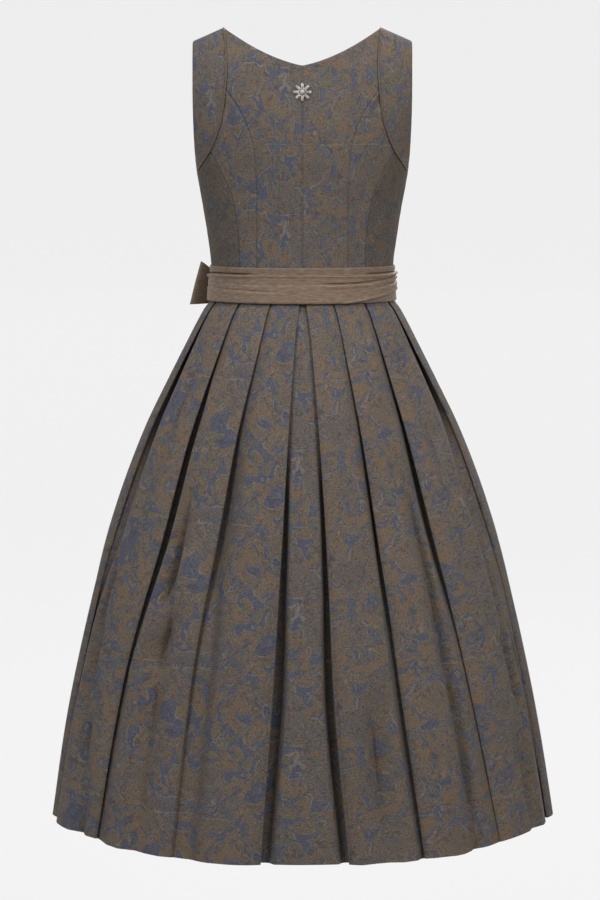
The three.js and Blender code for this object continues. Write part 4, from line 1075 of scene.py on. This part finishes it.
# ledges, where one layer lies over another: height share at angles round the back (right is positive)
ledges = table(
    "step soft line",
    (2.1, 0.016, [(-180, 0.25), (-100, 0.26), (-70, 0.215), (-30, 0.205), (0, 0.20), (35, 0.21), (70, 0.20),
                  (100, 0.17), (180, 0.25)]),
    (-1.9, 0.016, [(-180, 1.4), (5, 1.4), (22, 1.08), (38, 0.955), (55, 0.86), (75, 0.74), (92, 0.69), (110, 0.8),
                   (130, 1.3), (180, 1.4)]))
creases = table(
    "deep wide fade line",
    (2.6, 0.017, (-180, -28), [(-180, 0.235), (-100, 0.24), (-70, 0.195), (-30, 0.185), (0, 0.18), (180, 0.235)]),
    (2.2, 0.017, (38, 180), [(-180, 0.235), (35, 0.19), (70, 0.18), (100, 0.15), (180, 0.235)]),
    (2.2, 0.020, (6, 112), [(-180, 0.5), (0, 0.47), (30, 0.44), (60, 0.36), (90, 0.27), (180, 0.4)]),
    (0.9, 0.030, (-100, -14), [(-180, 0.6), (-90, 0.58), (-50, 0.63), (-10, 0.68), (180, 0.6)]),
    (1.8, 0.018, (48, 112), [(-180, 0.5), (40, 0.60), (70, 0.50), (95, 0.42), (180, 0.5)]),
    (0.8, 0.030, (-115, -60), [(-180, 0.4), (-95, 0.38), (-60, 0.34), (180, 0.4)]),
    (0.9, 0.035, (105, 180), [(-180, 0.45), (100, 0.42), (140, 0.5), (180, 0.45)]),
    (0.9, 0.035, (-180, -120), [(-180, 0.45), (-140, 0.52), (-110, 0.6), (180, 0.45)]))


def waistPoints(angle, z, out):
    # on the bodice above the waist seam, and on the skirt below it
    high, low, above = np.maximum(z, levels["waist"]), np.minimum(z, levels["waist"]), z > levels["waist"]
    base = np.where(above[..., None], bodicePoint(angle, high), skirtPoints(angle, low, 0))
    depth = np.where(above, bodiceDepth(angle, high), skirtDepth(low))
    nx, ny = depth * np.sin(angle), -bodiceHalfWidth(high) * np.cos(angle)
    size = np.hypot(nx, ny)
    base[..., 0] += nx / size * out
    base[..., 1] += ny / size * out
    base[..., 2] = z
    return base


def windSash(s):
    share = np.linspace(0, 1, s["rows"])[:, None]
    degrees = np.linspace(-180, 180, s["columns"], endpoint=False)[None, :]
    out = sashStand(np.abs(degrees)) + 0.9 * np.sin(math.pi * share) ** 0.5 - 0.2
    for ledge in ledges:
        line, step = curve(ledge["line"])(degrees), ledge["step"]
        out = out + step * smooth((share - line) / ledge["soft"])
        lip = 0.45 * abs(step) * np.exp(-((share - line - np.sign(step) * 0.035) / 0.035) ** 2)
        out = out + lip * (line < 1.05)
    for crease in creases:
        line = curve(crease["line"])(degrees)
        start, end = crease["fade"]
        shown = smooth((degrees - start) / 14) * smooth((end - degrees) / 14)
        trough = np.exp(-((share - line) / crease["wide"]) ** 2)
        ridge = np.exp(-((share - line - 0.075) / 0.045) ** 2)
        out = out + shown * crease["deep"] * (0.5 * ridge - trough)
    out = out + 0.2 * wrinkle(degrees * 1.1 + 25 * share, 2.0, 90)
    # the edges are folded over
    out = out - 0.7 * np.exp(-(share / 0.02) ** 2) - 0.7 * np.exp(-((1 - share) / 0.02) ** 2)
    z = mix(s["top"], s["bottom"], share) + 0.5 * wrinkle(degrees * 2.0, 5.0, 130) * np.sin(math.pi * share)
    points = waistPoints(np.radians(degrees) + 0 * z, z, out + np.where(z < levels["waist"], s["overSkirt"], 0))
    weaveRound, weaveDown = s["weaveSize"]
    run = np.linspace(0, weaveRound, s["columns"] + 1)[None, :]
    cloth = np.stack([run + 0 * share, mix(0, weaveDown, share) + 0 * run], -1)
    sewWall("sash", points, cloth, s["thickness"], "tie",
            ring=True, crisp=75)
    # the layer behind, above the first ledge, lies in the shade of the others: its faces get the darker copy of the
    # taffeta, painted shade
    wound = bpy.data.objects["sash_cloth"].data
    wound.materials.append(finishes["tieShade"][1])
    behind = curve(ledges[0]["line"])
    for face in wound.polygons:
        x, y, z = face.center
        height = (s["top"] - z / mm) / (s["top"] - s["bottom"])
        if height < float(behind(math.degrees(math.atan2(x, -y)))) + 0.01:
            face.material_index = 1
    print("sash wound")


windSash(sash)


# The apron

apron = {
    "top": -344,
    "hem": -1094,
    "waves": 14,
    "perWave": 20,
    "rows": 90,
    "thickness": 1.0,
    "halfWeave": 480,      # from its middle to a side, for its weave
}
apronEdge = curve([(-344, 62), (-406.5, 60), (-551.5, 56), (-1094, 54)])       # half its angle, at heights
apronStand = curves("z out wave", (-344, 3.7, 2.0), (-383, 4.2, 2.2), (-406.5, 7.2, 3.0), (-551.5, 12.5, 4.2),
                    (-1094, 13.5, 5.0))


def hangApron(a):
    share = np.linspace(0, 1, a["rows"])[:, None] ** 1.25
    z = mix(a["top"], a["hem"], share)
    across = np.linspace(-1, 1, a["waves"] * a["perWave"] + 1)[None, :]
    angle = math.pi + across * np.radians(apronEdge(z))
    phase = (across + 1) * math.pi * a["waves"] + 0.5 * np.sin(across * 5 + 2.2 * share)
    wave = -np.cos(phase) * apronStand["wave"](z)
    gathers = 0.55 * np.exp(-((z - a["top"]) / -70) ** 2) * np.cos(phase * 2 + 1.0)
    out = apronStand["out"](z) + wave * (0.9 + 0.12 * wrinkle(across * 300, 3.0, 90)) + gathers
    points = waistPoints(angle + 0 * z, z + 0 * angle, out + 0.5)
    cloth = np.stack([-z + 0 * angle, across * a["halfWeave"] + 0 * z], -1)
    sewWall("apron", points, cloth, a["thickness"], "tie")
    print("apron hung")


hangApron(apron)


# The bow at the wearer's left front

bow = {
    "thickness": 1.3,
    "knotGrid": (34, 48),          # rows, and corners round each
    "loopGrid": (40, 72),
    "loopHeight": (12, 29),        # half of it, at the knot and at the end
    "loopOpen": 5.5,
    "loopDroop": 5.5,
    "tailGrid": (60, 26),
    "tailWidth": (9, 30),          # half of it, at the knot and lower down
    "angle": -141,
    "z": -379,
    "out": 8.9,
    "tilt": 21,
    "loop": 66,
    "tail": 360,
    "knotAlong": 15,
    "knotOut": 11,
    "knotRise": 16.5,
}


def bowFrame(b):
    # gives the place at a distance along the band, out from it and up
    angle = np.array(math.radians(b["angle"]))
    base = waistPoints(angle, np.array(float(b["z"])), b["out"] + 0 * angle)
    out = np.array([97 * math.sin(angle), -129 * math.cos(angle), 0])
    out /= np.linalg.norm(out)
    along = np.array([out[1], -out[0], 0])
    return lambda a, o, r: base + a[..., None] * along + o[..., None] * out + r[..., None] * np.array([0, 0, 1.0])


def tieKnot(b):
    rows, sides = b["knotGrid"]
    rise = np.sin(np.linspace(-math.pi / 2, math.pi / 2, rows))[:, None]
    turn = np.linspace(0, 2 * math.pi, sides, endpoint=False)[None, :]
    girth = np.maximum(0.05, (1 - np.abs(rise) ** 3)) ** 0.5

    def square(value):
        return np.sign(value) * np.abs(value) ** 0.8

    fold = 1 + 0.05 * np.cos(turn * 3 + rise * 2.5) + 0.035 * np.sin(turn * 7 - rise * 4)
    pinch = 1 - 0.16 * np.exp(-(rise / 0.5) ** 2) * np.abs(np.cos(turn))
    along = b["knotAlong"] * girth * square(np.cos(turn)) * fold * pinch
    away = b["knotOut"] * (1.15 + girth * square(np.sin(turn)) * fold)
    points = bowFrame(b)(along, away, b["knotRise"] * rise * (1 + 0.04 * np.cos(turn * 2)))
    faces = ringFaces(rows, sides) + capFaces(rows, sides)
    place = np.stack([(turn * 14 + 0 * rise).ravel(), (rise * 22 + 0 * turn).ravel()], 1)
    piece = addPiece("bow_knot", "cloth", points.reshape(-1, 3) * mm, faces, "tie", place[np.concatenate(faces)])


def formLoop(b, label, direction):
    bend = math.sin(math.radians(b["tilt"]))
    rows, columns = b["loopGrid"]
    height = np.linspace(-1, 1, rows)[:, None]
    turn = np.linspace(0, math.pi, columns)[None, :]
    share = np.sin(turn) ** 0.8
    rise = height * mix(*b["loopHeight"], share)
    reach = b["knotAlong"] - 0.1 + b["loop"] * share * 0.86
    pleat = 1.6 * np.cos(height * 2 * math.pi) * (1 - share)
    pleat = pleat + 0.9 * np.cos(height * 3.2 * math.pi + 0.6 * direction) * (1 - share) ** 0.5 * share ** 0.3
    away = b["knotOut"] * 1.15 - b["loopOpen"] * np.cos(turn) * (0.65 + 0.9 * share) + pleat
    reach = direction * (reach - bend * rise * share * 0.9)
    droop = b["loopDroop"] * share * (0.35 + 0.65 * smooth(-height))
    lift = rise + bend * (b["loop"] * share * 0.86) - droop
    points = bowFrame(b)(reach, away, lift)
    normal = outwardOf(points - points.mean((0, 1)))
    cloth = np.stack([runAlong(points, 1), rise], -1)
    sewWall(f"bow_loop_{label}", points + normal * b["thickness"] / 2, cloth, b["thickness"], "tieShade",
            normal=normal)


def hangTail(b, label, drift, length, out):
    rows, columns = b["tailGrid"]
    share = np.linspace(0, 1, rows)[:, None]
    across = np.linspace(-1, 1, columns)[None, :]
    z = b["z"] - b["knotRise"] - 2 - length * share + 0 * across
    halfWidth = mix(*b["tailWidth"], smooth(share * 1.6))
    centre = np.radians(b["angle"] + drift * smooth(share * 1.4))
    angle = centre + across * halfWidth / (skirtHalfWidth(z) * 0.85)
    fold = 1.8 * np.cos(across * 2 * math.pi) * (1 - 0.6 * share)
    fold = fold + 0.8 * np.sin(across * 5 + 6 * share)
    points = skirtPoints(angle, z, out + fold + b["thickness"] / 2)
    cloth = np.stack([b["tail"] * share + 0 * across, across * 60 + 0 * share], -1)
    sewWall(f"tie_tail_{label}", points, cloth, b["thickness"], "tie")


def tieBow(b):
    tieKnot(b)
    formLoop(b, "front", 1)
    formLoop(b, "side", -1)
    hangTail(b, "short", -5, b["tail"] * 0.9, 18.6)
    hangTail(b, "long", 6, b["tail"], 23.8)
    print("bow tied")


tieBow(bow)


# The button stand, its buttons and the ornament

stand = {"half": 12, "thickness": 1.2, "top": levels["frontNeck"] - 0.5, "restGap": 0.35, "columns": 26,
         "rowsPerStation": 9}
buttons = {"count": 6, "top": -161.5, "step": 31.5, "radius": 6.5, "height": 3.0}
ornament = {"z": -92, "radius": 13, "petals": 8, "height": 3.5}


def sewStand(s):
    def edge(sign):
        return lambda z: math.pi + sign * np.arcsin(s["half"] / bodiceHalfWidth(z))

    down = [s["top"], -173] + bustLevels[:-1]
    panel = {"leftSeam": edge(1), "rightSeam": edge(-1), "left": down, "right": down}
    lift = bodice["outer"] + s["restGap"] + s["thickness"]
    points, normal, cloth = bodiceGrid(panel, s["columns"], s["rowsPerStation"], lift)
    points = turnEdges(points, normal, ("left", "right", "top", "bottom"), depth=0.5, reach=1.0, ripple=0.12)
    sewWall("button_stand", points, cloth, s["thickness"], "bodice", normal=normal)
    return points[:, points.shape[1] // 2]


def castOnCloth(node, profile, at, out, petals, depth=0.0, sides=48):
    # a turned metal piece: profile is (radius, height); petals scallop its rings
    aside = Vector((1, 0, 0))
    upward = out.cross(aside)
    corners, widest = [], profile[0][0]
    for radius, height in profile:
        for s in range(sides):
            turn = 2 * math.pi * s / sides
            scallop = 1 - depth * (0.5 - 0.5 * math.cos(petals * turn)) ** 2.4 if radius >= widest * 0.36 else 1.0
            lift = height
            if height > 0.5:
                lift += 0.35 * math.cos(petals * turn) * min(1, radius / widest * 1.2)
            point = at + (aside * math.cos(turn) + upward * math.sin(turn)) * radius * scallop + out * lift
            corners.append(tuple(point * mm))
    faces = ringFaces(len(profile), sides) + capFaces(len(profile), sides)
    addPiece(node, "cast", corners, faces, "metal", crisp=50)


def setButtons(b, middle):
    r, h = b["radius"], b["height"]
    profile = [(r, 0), (r, 0.7), (r * 0.97, 1.0), (r * 0.86, 1.05), (r * 0.80, 0.8), (r * 0.7, 1.1), (r * 0.5, 1.9),
               (r * 0.36, 2.4), (r * 0.30, 2.3), (r * 0.22, 2.75), (r * 0.10, h), (r * 0.02, h)]
    order = np.argsort(middle[:, 2])
    for n in range(b["count"]):
        z = b["top"] - n * b["step"]
        y, above, below = np.interp([z, z + 3, z - 3], middle[order, 2], middle[order, 1]).tolist()
        out = Vector((0, 6, below - above)).normalized()
        castOnCloth(f"button_{n + 1}", profile, Vector((0, y, z)) + out * 0.2, out, petals=6)
    print("buttons set:", b["count"])


def setOrnament(o):
    r, z = o["radius"], o["z"]
    y, above, below = bodicePoint(np.zeros(3), np.array([z, z + 3.0, z - 3.0]))[:, 1].tolist()
    out = Vector((0, -6, above - below)).normalized()
    profile = [(r, 0), (r, 0.55), (r * 0.97, 0.95), (r * 0.86, 1.5), (r * 0.7, 1.95), (r * 0.5, 1.85),
               (r * 0.36, 1.35), (r * 0.30, 1.5), (r * 0.28, 2.5), (r * 0.22, 3.2), (r * 0.1, o["height"]),
               (r * 0.01, o["height"])]
    castOnCloth("ornament", profile, Vector((0, y, z)) + out * 0.95, out, o["petals"], depth=0.46, sides=160)
    print("ornament set")


setButtons(buttons, sewStand(stand))
setOrnament(ornament)
